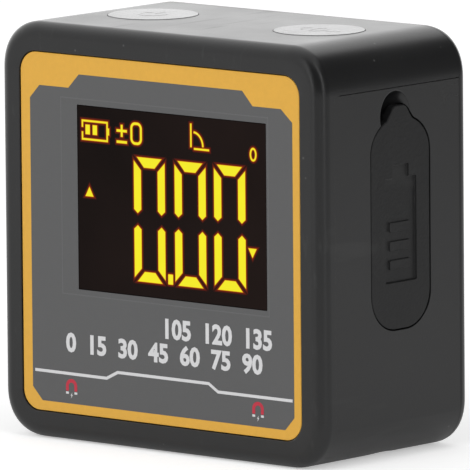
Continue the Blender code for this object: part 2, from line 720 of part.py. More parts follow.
def label_corners(grow):
    low = (-half_width + LABEL_MARGIN_X + LABEL_OFFSET_X - grow, LABEL_MARGIN_Z - grow)
    high = (half_width - LABEL_MARGIN_X + LABEL_OFFSET_X + grow, HEIGHT - LABEL_MARGIN_Z + grow)
    return low, high


def window_corners(grow):
    low = (-half_width + WINDOW_MARGIN_LEFT - grow, WINDOW_MARGIN_LOW - grow)
    high = (half_width - WINDOW_MARGIN_RIGHT + grow, HEIGHT - WINDOW_MARGIN_HIGH + grow)
    return low, high


def window_flange_corners(grow):
    low, high = window_corners(WINDOW_FLANGE + grow)
    return (low[0] - (WINDOW_FLANGE_LEFT - WINDOW_FLANGE), low[1]), high


def field_outline():
    """The grey field of the label: chamfered corners and a raised middle along the top."""
    low, high = label_corners(0.0)
    x0, x1 = low[0] + BORDER_SIDE, high[0] - BORDER_SIDE
    z0, z1 = low[1] + BORDER_LOW, high[1] - BORDER_HIGH
    shoulder = z1 - SHOULDER_DROP
    rise = SHOULDER_DROP
    cut = FIELD_CHAMFER
    return [(x0 + cut, z0), (x1 - cut, z0), (x1, z0 + cut), (x1, shoulder - cut), (x1 - cut, shoulder),
            (x1 - SHOULDER_LENGTH + rise, shoulder), (x1 - SHOULDER_LENGTH, z1),
            (x0 + SHOULDER_LENGTH, z1), (x0 + SHOULDER_LENGTH - rise, shoulder), (x0 + cut, shoulder),
            (x0, shoulder - cut), (x0, z0 + cut)]


def make_front_label():
    """A printed film with a window in it; the print is two fields of colour on the same face."""
    low, high = label_corners(0.0)
    border = rounded_outline(low, high, LABEL_RADIUS)
    low, high = window_corners(WINDOW_CLEARANCE)
    window = rounded_outline(low, high, WINDOW_RADIUS, 2)
    mesh = bpy.data.meshes.new("front_label")
    body = bmesh.new()

    def loop(outline, y):
        corners = [body.verts.new((u, y, v)) for u, v in outline]
        edges = [body.edges.new((corners[i - 1], corners[i])) for i in range(len(corners))]
        return corners, edges

    def fill(edges, slot):
        made = bmesh.ops.triangle_fill(body, edges=edges, use_beauty=True)
        for face in made["geom"]:
            if isinstance(face, bmesh.types.BMFace):
                face.material_index = slot

    border_front, border_edges = loop(border, label_front_y)
    window_front, window_edges = loop(window, label_front_y)
    field_edges = loop(field_outline(), label_front_y)[1]
    border_back, border_back_edges = loop(border, label_back_y)
    window_back, window_back_edges = loop(window, label_back_y)
    fill(border_edges + field_edges, 0)
    fill(field_edges + window_edges, 1)
    fill(border_back_edges + window_back_edges, 0)
    for front, back in ((border_front, border_back), (window_front, window_back)):
        for i in range(len(front)):
            body.faces.new((front[i - 1], front[i], back[i], back[i - 1]))
    bmesh.ops.recalc_face_normals(body, faces=body.faces)
    body.to_mesh(mesh)
    body.free()
    label = bpy.data.objects.new("front_label", mesh)
    bpy.context.scene.collection.objects.link(label)
    mesh.materials.append(finish("label_orange"))
    mesh.materials.append(finish("label_grey"))
    complete(label, "label_orange")


def make_display_window():
    """A clear plate: its raised middle fills the label's window and its flange sits in the front wall."""
    low, high = window_corners(0.0)
    raised = rounded_outline(low, high, WINDOW_RADIUS, 2)
    low, high = window_flange_corners(0.0)
    flange = rounded_outline(low, high, WINDOW_RADIUS, 2)
    plate = prism("display_window", "Y", flange, pocket_y, front_inner_y)
    shape(plate, "UNION", [prism("raised middle", "Y", raised, label_front_y, pocket_y + OVERLAP)])
    complete(plate, "window_plastic")


def glass_corners(grow):
    return window_corners(GLASS_OVERHANG + grow)


def peg_places():
    """Two pegs, one in each side wall of the display frame."""
    low, high = glass_corners(SEAT_GAP + FRAME_WALL)
    out = 1.3 * FRAME_PEG_RADIUS
    return [(low[0] - out, window_z), (high[0] - 3 * FRAME_WALL, low[1] - out)]


def make_display_module():
    """Glass, backlight, the frame that holds both to the board, and the rubber contact strip."""
    low, high = glass_corners(0.0)
    glass = block("display_glass", (low[0], glass_front_y, low[1]), (high[0], glass_back_y, high[1]))
    ledge = block("ledge", (low[0] - OVERRUN, glass_front_y - OVERRUN, low[1] - OVERRUN),
                  (high[0] + OVERRUN, glass_front_y + GLASS_THICKNESS / 2, low[1] + GLASS_LEDGE / 2))
    shape(glass, "DIFFERENCE", [ledge])
    complete(glass, "display_glass")
    light_low = low[1] + GLASS_LEDGE + SEAT_GAP
    light = block("display_backlight", (low[0] + SEAT_GAP, backlight_front_y, light_low),
                  (high[0] - SEAT_GAP, backlight_back_y, high[1] - SEAT_GAP))
    complete(light, "light_guide")
    strip_low = low[1] + (GLASS_LEDGE - STRIP_WIDTH) / 2
    strip = block("display_connector", (low[0] + STRIP_WIDTH, glass_back_y + SEAT_GAP, strip_low),
                  (high[0] - STRIP_WIDTH, board_front_y - SEAT_GAP, strip_low + STRIP_WIDTH))
    complete(strip, "contact_rubber")
    inner_low, inner_high = glass_corners(SEAT_GAP)
    outer_low, outer_high = glass_corners(SEAT_GAP + FRAME_WALL)
    frame = prism("display_frame", "Y", rounded_outline(outer_low, outer_high, FRAME_WALL, 3), glass_front_y,
                  board_front_y - SEAT_GAP)
    hole = prism("frame inside", "Y", rounded_outline(inner_low, inner_high, FRAME_WALL / 4, 1),
                 glass_front_y - OVERRUN, board_front_y + OVERRUN)
    shape(frame, "DIFFERENCE", [hole])
    pegs = []
    for i, place in enumerate(peg_places()):
        pegs.append(stepped_pin(f"peg {i}", "Y", place, 2 * FRAME_PEG_RADIUS, glass_back_y,
                                board_front_y - 2 * SEAT_GAP, board_back_y + SEAT_GAP))
    shape(frame, "UNION", pegs)
    complete(frame, "white_plastic")


# Boards

def make_main_board():
    board = block("main_board", (-board_half_width, board_front_y, BOARD_BOTTOM),
                  (board_half_width, board_back_y, board_top_z))
    holes = []
    for name, x, z in board_screws:
        holes.append(rod(f"hole {name}", "Y", (x, z), BOARD_SCREW_RADIUS + SCREW_CLEARANCE,
                         board_front_y - OVERRUN, board_back_y + OVERRUN, PIN_STEPS))
    for i, place in enumerate(peg_places()):
        holes.append(rod(f"peg hole {i}", "Y", place, FRAME_PEG_RADIUS + SCREW_CLEARANCE,
                         board_front_y - OVERRUN, board_back_y + OVERRUN, PIN_STEPS))
    shape(board, "DIFFERENCE", holes)
    complete(board, "board_green")
    for name, x, z in board_screws:
        face = board_back_y + SEAT_GAP + BOARD_SCREW_HEAD_HEIGHT
        screw(name, (x, z), face, BOARD_SCREW_HEAD_RADIUS, BOARD_SCREW_HEAD_HEIGHT, BOARD_SCREW_RADIUS,
              BOARD_SCREW_LENGTH)


def make_chips():
    """The processor and the tilt sensor, on the back of the main board below the battery tray."""
    chips = (("processor", PROCESSOR_SIZE, -PROCESSOR_SIZE), ("tilt_sensor", SENSOR_SIZE, SENSOR_SIZE))
    for name, size, x in chips:
        half = size / 2
        start = board_back_y + SEAT_GAP
        low, high = (x - half, CHIP_HEIGHT_Z - half), (x + half, CHIP_HEIGHT_Z + half)
        outline = rounded_outline(low, high, size * 0.06, 2)
        chip = prism(name, "Y", outline, start, start + CHIP_THICKNESS)
        complete(chip, "chip_black")


def make_button_board():
    half_x, half_y = half_width - BUTTON_BOARD_INSET, BUTTON_BOARD_DEPTH / 2
    board = block("button_board", (-half_x, mid_y - half_y, button_board_bottom_z),
                  (half_x, mid_y + half_y, button_board_top_z))
    holes = []
    for side in (-1, 1):
        holes.append(rod(f"stake hole {side}", "Z", (side * stake_x, mid_y),
                         FRAME_PEG_RADIUS + SCREW_CLEARANCE, button_board_bottom_z - OVERRUN,
                         button_board_top_z + OVERRUN, PIN_STEPS))
    shape(board, "DIFFERENCE", holes)
    complete(board, "board_green")


def make_board_link():
    """A four-pin header from the main board to the button board."""
    half = LINK_PINS * LINK_PITCH / 2
    low_z = button_board_top_z + SEAT_GAP
    start = board_back_y + SEAT_GAP
    end = mid_y - BUTTON_BOARD_DEPTH / 2 - SEAT_GAP
    header = block("board_link", (-half, start, low_z), (half, end, low_z + 3 * LINK_PIN))
    pins = []
    for i in range(LINK_PINS):
        x = (i - (LINK_PINS - 1) / 2) * LINK_PITCH
        pins.append(block(f"pin {i}", (x - LINK_PIN / 2, end - OVERLAP, low_z + LINK_PIN),
                          (x + LINK_PIN / 2, end + LINK_PITCH, low_z + 2 * LINK_PIN)))
    shape(header, "UNION", pins)
    complete(header, "chip_black")


# Buttons

def make_button(name, side):
    """A round cap with a flange that keeps it in its hole and a stem that reaches the switch."""
    centre = (side * button_x, mid_y)
    soft = BUTTON_RISE
    hollow = BUTTON_RADIUS - BUTTON_WALL
    skin = button_top_z - BUTTON_SKIN
    profile = [(0.0, stem_bottom_z), (BUTTON_STEM_RADIUS, stem_bottom_z), (BUTTON_STEM_RADIUS, skin),
               (hollow, skin), (hollow, flange_bottom_z), (flange_radius, flange_bottom_z),
               (flange_radius, flange_top_z),
               (BUTTON_RADIUS, flange_top_z), (BUTTON_RADIUS, button_top_z - soft),
               (BUTTON_RADIUS - soft * 0.3, button_top_z - soft * 0.3), (BUTTON_RADIUS - soft, button_top_z),
               (0.0, button_top_z)]
    cap = turned(f"button_{name}", "Z", centre, profile)
    set_origin(cap, (centre[0], centre[1], button_top_z))
    complete(cap, "button_plastic")


def make_switch(name, side):
    """A tactile switch: its case, the plunger that the stem presses and the snap dome under it."""
    x, y = side * button_x, mid_y
    half = SWITCH_SIZE / 2
    case = block(f"switch_{name}", (x - half, y - half, switch_bottom_z), (x + half, y + half, switch_top_z))
    shape(case, "DIFFERENCE", [
        rod("chamber", "Z", (x, y), SWITCH_CHAMBER_RADIUS, chamber_bottom_z, chamber_top_z),
        rod("bore", "Z", (x, y), PLUNGER_RADIUS + PLUNGER_CLEARANCE, chamber_top_z - OVERLAP,
            switch_top_z + OVERRUN),
    ])
    complete(case, "chip_black")
    plunger = rod(f"plunger_{name}", "Z", (x, y), PLUNGER_RADIUS, chamber_top_z + DOME_THICKNESS,
                  plunger_top_z)
    set_origin(plunger, (x, y, plunger_top_z))
    complete(plunger, "white_plastic")
    reach = SWITCH_CHAMBER_RADIUS - PLUNGER_CLEARANCE
    foot = chamber_bottom_z + DOME_THICKNESS
    rise = SWITCH_CHAMBER_HEIGHT - 3 * DOME_THICKNESS
    outer = [(reach * math.cos(a), foot + rise * math.sin(a)) for a in np.radians(np.linspace(0, 90, 4))]
    outer[-1] = (0.0, outer[-1][1])
    inner = [((reach - DOME_THICKNESS) * math.cos(a), foot + (rise - DOME_THICKNESS) * math.sin(a))
             for a in np.radians(np.linspace(90, 0, 4))]
    inner[0] = (0.0, inner[0][1])
    dome = turned(f"dome_{name}", "Z", (x, y), inner + outer, PIN_STEPS)
    complete(dome, "contact_metal")


# Cells, tray and contacts

def make_battery_tray():
    """A double tube for two cells lying across the box, open towards the door."""
    outline = rounded_outline((tray_front_y, tray_bottom_z), (tray_back_y, tray_top_z), TRAY_WALL * 2, 3)
    tray = prism("battery_tray", "X", outline, tray_left_x, tray_mouth_x)
    posts = []
    for side in (-1, 1):
        place = (side * stake_x, mid_y)
        posts.append(stepped_pin(f"post {side}", "Z", place, 2 * FRAME_PEG_RADIUS, tray_top_z - OVERLAP,
                                 button_board_bottom_z - SEAT_GAP, button_board_top_z + SEAT_GAP))
    shape(tray, "UNION", posts)
    bores = []
    for i, z in enumerate(cell_heights):
        bores.append(rod(f"bore {i}", "X", (mid_y, z), bore_radius, tray_end_x, tray_mouth_x + OVERRUN, 32))
    shape(tray, "DIFFERENCE", bores)
    complete(tray, "tray_plastic")


def make_cell(name, z, start_x, end_x):
    """An AAA cell along X with its plus end at end_x: rolled edges, a plus nub and a flat minus end."""
    way = 1 if end_x > start_x else -1
    edge = way * CELL_EDGE
    body_end = end_x - way * CELL_NUB_LENGTH
    profile = [(0.0, start_x), (CELL_RADIUS - 2 * CELL_EDGE, start_x),
               (CELL_RADIUS - CELL_EDGE, start_x + edge * 0.3), (CELL_RADIUS, start_x + edge),
               (CELL_RADIUS, body_end - edge), (CELL_RADIUS - CELL_EDGE, body_end), (CELL_NUB_RADIUS, body_end),
               (CELL_NUB_RADIUS, end_x - edge * 0.5), (CELL_NUB_RADIUS - CELL_EDGE, end_x), (0.0, end_x)]
    cell = turned(name, "X", (mid_y, z), profile, 32)
    complete(cell, "cell_jacket")


def make_inner_contacts():
    """At the closed end of the tray: a plate for the plus end and a plate with a coil for the minus end."""
    lower, upper = cell_heights
    back = inner_contact_x - CONTACT_THICKNESS
    plate = rod("contact_plate", "X", (mid_y, lower), CONTACT_RADIUS, back, inner_contact_x)
    complete(plate, "contact_metal")
    spring = rod("contact_spring", "X", (mid_y, upper), CONTACT_RADIUS, back, inner_contact_x)
    tip = inner_contact_x + SPRING_LENGTH - SPRING_WIRE
    shape(spring, "UNION", [coil("coil", (mid_y, upper), inner_contact_x, tip)])
    complete(spring, "contact_metal")


def make_door_contact():
    """A strip inside the door that joins both cells, with a coil for the lower cell's minus end."""
    lower, upper = cell_heights
    inner_face = door_contact_x - CONTACT_THICKNESS
    strip = prism("door_contact", "X", rounded_outline((mid_y - CONTACT_RADIUS, lower - CONTACT_RADIUS),
                                                       (mid_y + CONTACT_RADIUS, upper + CONTACT_RADIUS),
                                                       CONTACT_RADIUS * 0.6, 4), inner_face, door_contact_x)
    tip = lower_cell_end_x + SEAT_GAP + SPRING_WIRE
    shape(strip, "UNION", [coil("coil", (mid_y, lower), inner_face, tip)])
    set_origin(strip, door_hinge())
    complete(strip, "contact_metal")


def door_hinge():
    """The door tips out about the lower edge of its face."""
    return (door_face_x, mid_y, door_bottom_z)


def sink_emblem(door):
    """The battery emblem: a shallow pocket with a nub at its top, and bars that stand up from its floor."""
    emblem_z = door_bottom_z + EMBLEM_BOTTOM
    emblem_top = emblem_z + EMBLEM_HEIGHT
    half, half_nub = EMBLEM_WIDTH / 2, EMBLEM_NUB_WIDTH / 2
    floor_x, outside_x = door_face_x - EMBLEM_DEPTH, door_face_x + OVERRUN
    shape(door, "DIFFERENCE", [
        block("emblem", (floor_x, mid_y - half, emblem_z), (outside_x, mid_y + half, emblem_top)),
        block("emblem nub", (floor_x, mid_y - half_nub, emblem_top - OVERLAP),
              (outside_x, mid_y + half_nub, emblem_top + EMBLEM_NUB_HEIGHT)),
    ])
    half_bar = half - EMBLEM_BAR_MARGIN
    bars = []
    for i in range(EMBLEM_BARS):
        low = emblem_z + EMBLEM_BAR_RAISE + i * EMBLEM_BAR_PITCH
        bars.append(block(f"bar {i}", (floor_x - OVERLAP, mid_y - half_bar, low),
                          (door_face_x - EMBLEM_BAR_DROP, mid_y + half_bar, low + EMBLEM_BAR_HEIGHT)))
    shape(door, "UNION", bars)


def make_battery_door():
    """The door: a plate with a snap tab, a sunk battery emblem, a hooked tongue and a snap leg."""
    door = loft("battery_door", "X", [(door_outline(0.0), door_back_x),
                                      (door_outline(0.0), door_face_x - DOOR_EDGE),
                                      (door_outline(-DOOR_EDGE * 0.3), door_face_x - DOOR_EDGE * 0.3),
                                      (door_outline(-DOOR_EDGE), door_face_x)])
    tongue_low = door_bottom_z + LEDGE_WIDTH + SEAT_GAP
    half_tongue = TONGUE_WIDTH / 2
    hook_x = ledge_back_x - HOOK_GAP
    inside = [
        block("tongue", (hook_x - TONGUE_THICKNESS, mid_y - half_tongue, tongue_low),
              (door_back_x + OVERLAP, mid_y + half_tongue, tongue_low + TONGUE_THICKNESS)),
        block("hook", (hook_x - TONGUE_THICKNESS, mid_y - half_tongue, tongue_low - TONGUE_REACH),
              (hook_x, mid_y + half_tongue, tongue_low + TONGUE_THICKNESS)),
    ]
    leg_top = door_shoulder_z + LEG_LENGTH
    half_leg = LEG_WIDTH / 2
    leg_low = cell_heights[1] + CONTACT_RADIUS + SEAT_GAP
    leg_x = door_back_x - LEG_GAP
    inside.append(block("leg foot", (leg_x - LEG_THICKNESS, mid_y - half_leg, leg_low),
                        (door_back_x + OVERLAP, mid_y + half_leg, leg_low + LEG_THICKNESS)))
    inside.append(block("leg", (leg_x - LEG_THICKNESS, mid_y - half_leg, leg_low),
                        (leg_x, mid_y + half_leg, leg_top)))
    shape(door, "UNION", inside)
    sink_emblem(door)
    set_origin(door, door_hinge())
    complete(door, "door_plastic")


def build():
    clear_scene()
    make_front_housing()
    make_rear_cover()
    make_cover_screws()
    make_magnets()
    make_front_label()
    make_display_window()
    make_display_module()
    make_main_board()
    make_chips()
    make_button_board()
    make_board_link()
    for name, side in (("left", -1), ("right", 1)):
        make_button(name, side)
        make_switch(name, side)
    make_battery_tray()
    make_cell("cell_lower", cell_heights[0], lower_cell_end_x, lower_cell_start_x)
    make_cell("cell_upper", cell_heights[1], upper_cell_start_x, upper_cell_end_x)
    make_inner_contacts()
    make_door_contact()
    make_battery_door()


build()
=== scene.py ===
"""Dresses a digital angle gauge: fine moulded surfaces, printed label, lit display and finishes."""

import math
from functools import partial

import bmesh
import bpy
import numpy as np
from bpy.props import FloatProperty, FloatVectorProperty, PointerProperty
from mathutils import Matrix, Vector


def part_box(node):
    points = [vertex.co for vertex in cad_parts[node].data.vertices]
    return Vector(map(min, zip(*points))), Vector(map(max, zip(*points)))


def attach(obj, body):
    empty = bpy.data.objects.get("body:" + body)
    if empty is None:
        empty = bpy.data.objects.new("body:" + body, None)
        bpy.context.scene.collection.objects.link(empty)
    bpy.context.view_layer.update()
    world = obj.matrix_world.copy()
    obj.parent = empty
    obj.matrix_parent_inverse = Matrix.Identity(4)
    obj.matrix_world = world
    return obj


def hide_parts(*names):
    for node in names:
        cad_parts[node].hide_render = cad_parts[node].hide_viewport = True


bl_info = {
    "name": "Angle Gauge Dresser",
    "version": (1, 0, 0),
    "blender": (4, 5, 0),
    "location": "View3D > Sidebar > Angle Gauge",
    "description": "Builds the moulded case, label, display, buttons and battery door of a digital angle gauge",
    "category": "Object",
}

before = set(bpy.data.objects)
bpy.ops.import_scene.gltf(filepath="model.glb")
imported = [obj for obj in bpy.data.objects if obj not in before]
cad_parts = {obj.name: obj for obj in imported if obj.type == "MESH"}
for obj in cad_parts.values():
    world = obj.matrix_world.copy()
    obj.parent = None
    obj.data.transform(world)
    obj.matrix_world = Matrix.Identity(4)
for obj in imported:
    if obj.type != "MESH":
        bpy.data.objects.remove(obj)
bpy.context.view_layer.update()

MM = 0.001
CASE_LOW, CASE_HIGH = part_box("front_housing")
LABEL_LOW, LABEL_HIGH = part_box("front_label")
WINDOW_LOW, WINDOW_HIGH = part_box("display_window")
DOOR_LOW, DOOR_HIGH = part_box("battery_door")
TRAY_LOW, TRAY_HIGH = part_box("battery_tray")
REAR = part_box("rear_cover")[1][1]
FRONT, SIDE, TOP = CASE_LOW[1], CASE_HIGH[0], CASE_HIGH[2]

COVER_SCREWS = [f"cover_screw_{level}_{side}" for level in ("lower", "upper") for side in ("left", "right")]
BOARD_SCREWS = [f"board_screw_{side}" for side in ("left", "right", "upper")]
MAGNETS = ("magnet_left", "magnet_right")
MAGNET_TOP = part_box("magnet_left")[1][2]
BUTTON_BODIES = {"button_left": "left_button", "button_right": "right_button"}


# Sizes and colours that a user would change

def length(name, default, description):
    return FloatProperty(name=name, default=default, description=description, unit="LENGTH", min=0.0, precision=5)


def paint(name, default, description):
    return FloatVectorProperty(name=name, default=default, description=description, subtype="COLOR", size=3,
                               min=0.0, max=1.0)


class GaugeSizes(bpy.types.PropertyGroup):
    """Sizes of the case, the label and the print."""

    corner_radius: length("Case Corner", 7.0 * MM, "Radius of the four corners of the front")
    corner_power: FloatProperty(name="Corner Squareness", default=2.25, min=2.0, max=4.0,
                                description="Power of the corner curve: 2 is a circle, more is squarer")
    front_round: length("Front Edge", 2.1 * MM, "Rounding of the front edge")
    rear_round: length("Rear Edge", 1.9 * MM, "Rounding of the rear edge")
    wall: length("Case Wall", 2.0 * MM, "Thickness of the moulded walls")
    seam_gap: length("Seam Gap", 0.01 * MM, "Open gap between the shell and the rear cover")
    insert_depth: length("Side Field", 0.1 * MM, "Depth of the field around the battery door")
    insert_set_back: length("Side Field Start", 3.05 * MM, "Distance of that field from the front")
    insert_margin: length("Side Field Margin", 7.0 * MM, "Distance of that field from the top")
    groove_width: length("Groove Width", 11.5 * MM, "Width of the base groove")
    groove_depth: length("Groove Depth", 0.6 * MM, "Depth of the base groove")
    label_radius: length("Label Corner", 2.9 * MM, "Radius of the label's corners")
    digit_height: length("Digit Height", 17.72 * MM, "Height of the large digits")
    digit_width: length("Digit Width", 5.71 * MM, "Width of one large digit")
    bar_width: length("Bar Width", 1.25 * MM, "Width of the bars of a large digit")


class GaugeColours(bpy.types.PropertyGroup):
    """Colours of the plastic, the print and the lit display."""

    plastic: paint("Case Plastic", (0.0086, 0.0087, 0.0090), "Black plastic of the case")
    door: paint("Door Plastic", (0.0085, 0.0086, 0.0089), "Grainy plastic of the battery door")
    button: paint("Button Plastic", (0.100, 0.101, 0.103), "Smooth plastic of the push buttons")
    orange: paint("Label Border", (0.700, 0.380, 0.053), "Orange border of the label")
    grey: paint("Label Field", (0.0955, 0.0960, 0.0975), "Grey field of the label")
    white: paint("White Print", (0.640, 0.640, 0.650), "Line and numbers on the label")
    red: paint("Red Print", (0.480, 0.030, 0.055), "Magnet marks on the label")
    screen: paint("Display", (0.0090, 0.0048, 0.0040), "Unlit display")
    lit: paint("Lit Bars", (0.905, 0.825, 0.020), "Lit bars of the display")


def sizes():
    return bpy.context.scene.gauge_sizes


def colours():
    return bpy.context.scene.gauge_colours


# Surfaces worked out as whole arrays

def grid_faces(rows, columns, close_rows=False, close_columns=True):
    """Quads of a grid: point (r, c) joins (r, c+1), (r+1, c+1) and (r+1, c), counted round where it closes."""
    r = np.arange(rows if close_rows else rows - 1)[:, None]
    c = np.arange(columns if close_columns else columns - 1)[None, :]
    r1, c1 = (r + 1) % rows, (c + 1) % columns
    corners = [r * columns + c, r * columns + c1, r1 * columns + c1, r1 * columns + c]
    return np.stack(corners, axis=-1).reshape(-1, 4).tolist()


def tube(points, closed=False):
    """A grid of rings as a skin: quads between rings, and a flat face at each end unless it closes like a tyre."""
    rows, columns = points.shape[:2]
    faces = grid_faces(rows, columns, closed)
    if not closed:
        faces.append(list(range(columns))[::-1])
        faces.append(list(range((rows - 1) * columns, rows * columns)))
    return points.reshape(-1, 3), faces


def skin_object(name, parts, *finishes, glow=None):
    """One mesh object from several skins, its faces turned outwards; glow becomes the attribute of that name."""
    points = np.concatenate([part[0] for part in parts])
    offsets = np.cumsum([0] + [len(part[0]) for part in parts])
    faces = [[i + offset for i in face] for part, offset in zip(parts, offsets) for face in part[1]]
    mesh = bpy.data.meshes.new(name)
    mesh.from_pydata(points.tolist(), [], faces)
    if glow is not None:
        mesh.attributes.new("glow", "FLOAT", "POINT").data.foreach_set("value", np.concatenate(glow))
    body = bmesh.new()
    body.from_mesh(mesh)
    bmesh.ops.remove_doubles(body, verts=body.verts, dist=0.0000004)
    bmesh.ops.recalc_face_normals(body, faces=body.faces)
    body.to_mesh(mesh)
    body.free()
    for finish in finishes:
        mesh.materials.append(material(finish))
    return linked(name, mesh)


def linked(name, data):
    """A new object in the scene."""
    item = bpy.data.objects.new(name, data)
    bpy.context.scene.collection.objects.link(item)
    return item


def face_centres(item):
    """The middle of every face, as one array."""
    centres = np.zeros(len(item.data.polygons) * 3)
    item.data.polygons.foreach_get("center", centres)
    return centres.reshape(-1, 3)


def worked_mesh(item):
    """The mesh of an object after its modifiers or its text layout."""
    bpy.context.view_layer.update()
    return bpy.data.meshes.new_from_object(item.evaluated_get(bpy.context.evaluated_depsgraph_get()))


def carve(target, operation, cutters):
    """Join tools to a piece, or cut them out of it, and keep the worked mesh."""
    for cutter in cutters:
        step = target.modifiers.new(cutter.name, "BOOLEAN")
        step.solver = "EXACT"
        step.operation = operation
        step.object = cutter
    worked = worked_mesh(target)
    target.modifiers.clear()
    target.data = worked
    for cutter in cutters:
        bpy.data.objects.remove(cutter, do_unlink=True)


def finish_piece(item, body, slot, *nodes, angle=32.0):
    """Smooth a piece, weight its normals to its flat faces, and put it on its body."""
    item.data.shade_smooth()
    item.data.set_sharp_from_angle(angle=math.radians(angle))
    item.modifiers.new("Weighted Normals", "WEIGHTED_NORMAL").keep_sharp = True
    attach(item, body)
    if nodes:
        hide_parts(*nodes)


def in_space(axis, u, v, t):
    """Two coordinates across an axis and one along it, stacked as places."""
    u, v, t = np.broadcast_arrays(u, v, t)
    return np.stack({"X": (t, u, v), "Y": (u, t, v), "Z": (u, v, t)}[axis], axis=-1)


def layers(axis, rows):
    """Rings of flat outlines: row (outline, place along the axis)."""
    return np.stack([in_space(axis, *np.transpose(outline), place) for outline, place in rows])


def quarter(radius, steps):
    """A quarter circle that rounds an edge, as pairs radius * (1 - cos, 1 - sin) of an angle from 0 to 90 degrees."""
    return [(radius * (1 - math.cos(a)), radius * (1 - math.sin(a))) for a in np.radians(np.linspace(0, 90, steps))]


def arc_path(centre, radius_u, radius_v, start, end, steps=16):
    """Points of an ellipse's arc, angles in degrees."""
    turn = np.radians(np.linspace(start, end, steps + 1))
    return np.stack([centre[0] + radius_u * np.cos(turn), centre[1] + radius_v * np.sin(turn)], axis=1)


def grown(rect, grow, radius, place):
    """One row for rect_rings: a rectangle (u0, v0, u1, v1) grown all round."""
    return rect[0] - grow, rect[1] - grow, rect[2] + grow, rect[3] + grow, radius, place


def rect_rings(rows, axis="Y", steps=20, power=2.0):
    """Rings of round-cornered rectangles, one for each row (u0, v0, u1, v1, radius, place along the axis).

    A ring's point is the corner's centre + radius * (cos, sin) of an angle that turns once round the four corners,
    with the cosine and sine raised to 2 / power: 2 gives round corners, more gives squarer ones.
    """
    u0, v0, u1, v1, radius, place = [column[:, None, None] for column in np.array(rows, float).T]
    turn = np.arange(4)[:, None] * math.pi / 2 - math.pi / 2 + np.linspace(0, math.pi / 2, steps + 1)[None, :]
    right = np.array([1, 1, 0, 0])[None, :, None]
    upper = np.array([0, 1, 1, 0])[None, :, None]
    bend = 2.0 / np.broadcast_to(np.asarray(power, float), len(rows))[:, None, None]
    cos, sin = np.cos(turn)[None], np.sin(turn)[None]
    u = np.where(right, u1 - radius, u0 + radius) + radius * np.sign(cos) * np.abs(cos) ** bend
    v = np.where(upper, v1 - radius, v0 + radius) + radius * np.sign(sin) * np.abs(sin) ** bend
    count = len(rows)
    return in_space(axis, u.reshape(count, -1), v.reshape(count, -1), place.reshape(count, 1))


def rect_outline(row, steps=12):
    """The flat outline of one round-cornered rectangle."""
    return rect_rings([row], steps=steps)[0][:, [0, 2]]


def turned_rings(axis, centre, profile, steps=72):
    """Rings turned about a line along an axis: centre + r * (cos, sin) of the turning angle, for points (r, t)."""
    turn = np.arange(steps) * 2 * math.pi / steps
    r, t = np.array(profile, float).T[:, :, None]
    return in_space(axis, centre[0] + r * np.cos(turn), centre[1] + r * np.sin(turn), t)


def tool(name, rings):
    """A tool for cutting or joining."""
    return skin_object(name, [tube(rings)])


def rod(name, axis, centre, radius, start, end, steps=48):
    """A round tool: a circle drawn out along an axis."""
    return tool(name, turned_rings(axis, centre, [(radius, start), (radius, end)], steps))


def slab(name, low, high, soft=0.01 * MM):
    """A tool or rib between two corners: a rectangle of corner radius soft drawn out along Z."""
    return tool(name, rect_rings([(*low[:2], *high[:2], soft, z) for z in (low[2], high[2])], "Z", 3))


def along(steps):
    """Steps between points as unit directions."""
    return steps / np.linalg.norm(steps, axis=-1, keepdims=True)


def offset_outline(outline, amount):
    """A closed outline moved out by amount: each point goes along the mean of its two edge normals, mitred."""
    ahead = along(np.roll(outline, -1, axis=0) - outline)
    behind = np.roll(ahead, 1, axis=0)
    mean = along(np.stack([ahead[:, 1] + behind[:, 1], -ahead[:, 0] - behind[:, 0]], axis=1))
    normal = np.stack([ahead[:, 1], -ahead[:, 0]], axis=1)
    mitre = 1.0 / np.clip(np.sum(mean * normal, axis=1), 0.35, 1.0)
    return outline + mean * (amount * mitre)[:, None]


def stroke_sides(path, offsets, closed):
    """A line carried along a path: the path's point + offset * the mitred normal there, for each offset."""
    if closed:
        ahead = np.roll(path, -1, axis=0) - path
        behind = path - np.roll(path, 1, axis=0)
    else:
        step = np.diff(path, axis=0)
        ahead = np.concatenate([step, step[-1:]])
        behind = np.concatenate([step[:1], step])
    ahead = along(ahead)
    mean = along(ahead + along(behind))
    normal = np.stack([mean[:, 1], -mean[:, 0]], axis=1)
    mitre = 1.0 / np.clip(np.sum(mean * ahead, axis=1), 0.4, 1.0)
    return path[:, None] + normal[:, None] * (offsets[None, :, None] * mitre[:, None, None])


# Shader nodes and the effects that several materials share

def feed(node, inputs):
    """Fill a node's inputs: sockets are linked, values are set."""
    for key, value in inputs.items():
        if isinstance(value, bpy.types.NodeSocket):
            node.id_data.links.new(value, node.inputs[key])
        else:
            node.inputs[key].default_value = value


def add_node(near, kind, inputs=None, **settings):
    """A shader node with its settings and inputs, in the tree of the socket or node given as near."""
    node = near.id_data.nodes.new("ShaderNode" + kind)
    for key, value in settings.items():
        setattr(node, key, value)
    feed(node, inputs or {})
    return node


def calc(operation, a, b=0.0, clamp=False):
    """A Math node on two values, at least one of them a socket."""
    near = a if isinstance(a, bpy.types.NodeSocket) else b
    return add_node(near, "Math", {0: a, 1: b}, operation=operation, use_clamp=clamp).outputs[0]


def add(a, b, clamp=False):
    return calc("ADD", a, b, clamp)


def sub(a, b, clamp=False):
    return calc("SUBTRACT", a, b, clamp)


def mul(a, b):
    return calc("MULTIPLY", a, b)


def line(value, factor, start, clamp=False):
    """The value times a factor, plus a start."""
    return add(mul(value, factor), start, clamp)


def ranged(value, start, end, low=0.0, high=1.0, kind="LINEAR"):
    """The value's run from start to end, carried over to low to high."""
    inputs = {"Value": value, "From Min": start, "From Max": end, "To Min": low, "To Max": high}
    return add_node(value, "MapRange", inputs, interpolation_type=kind).outputs[0]


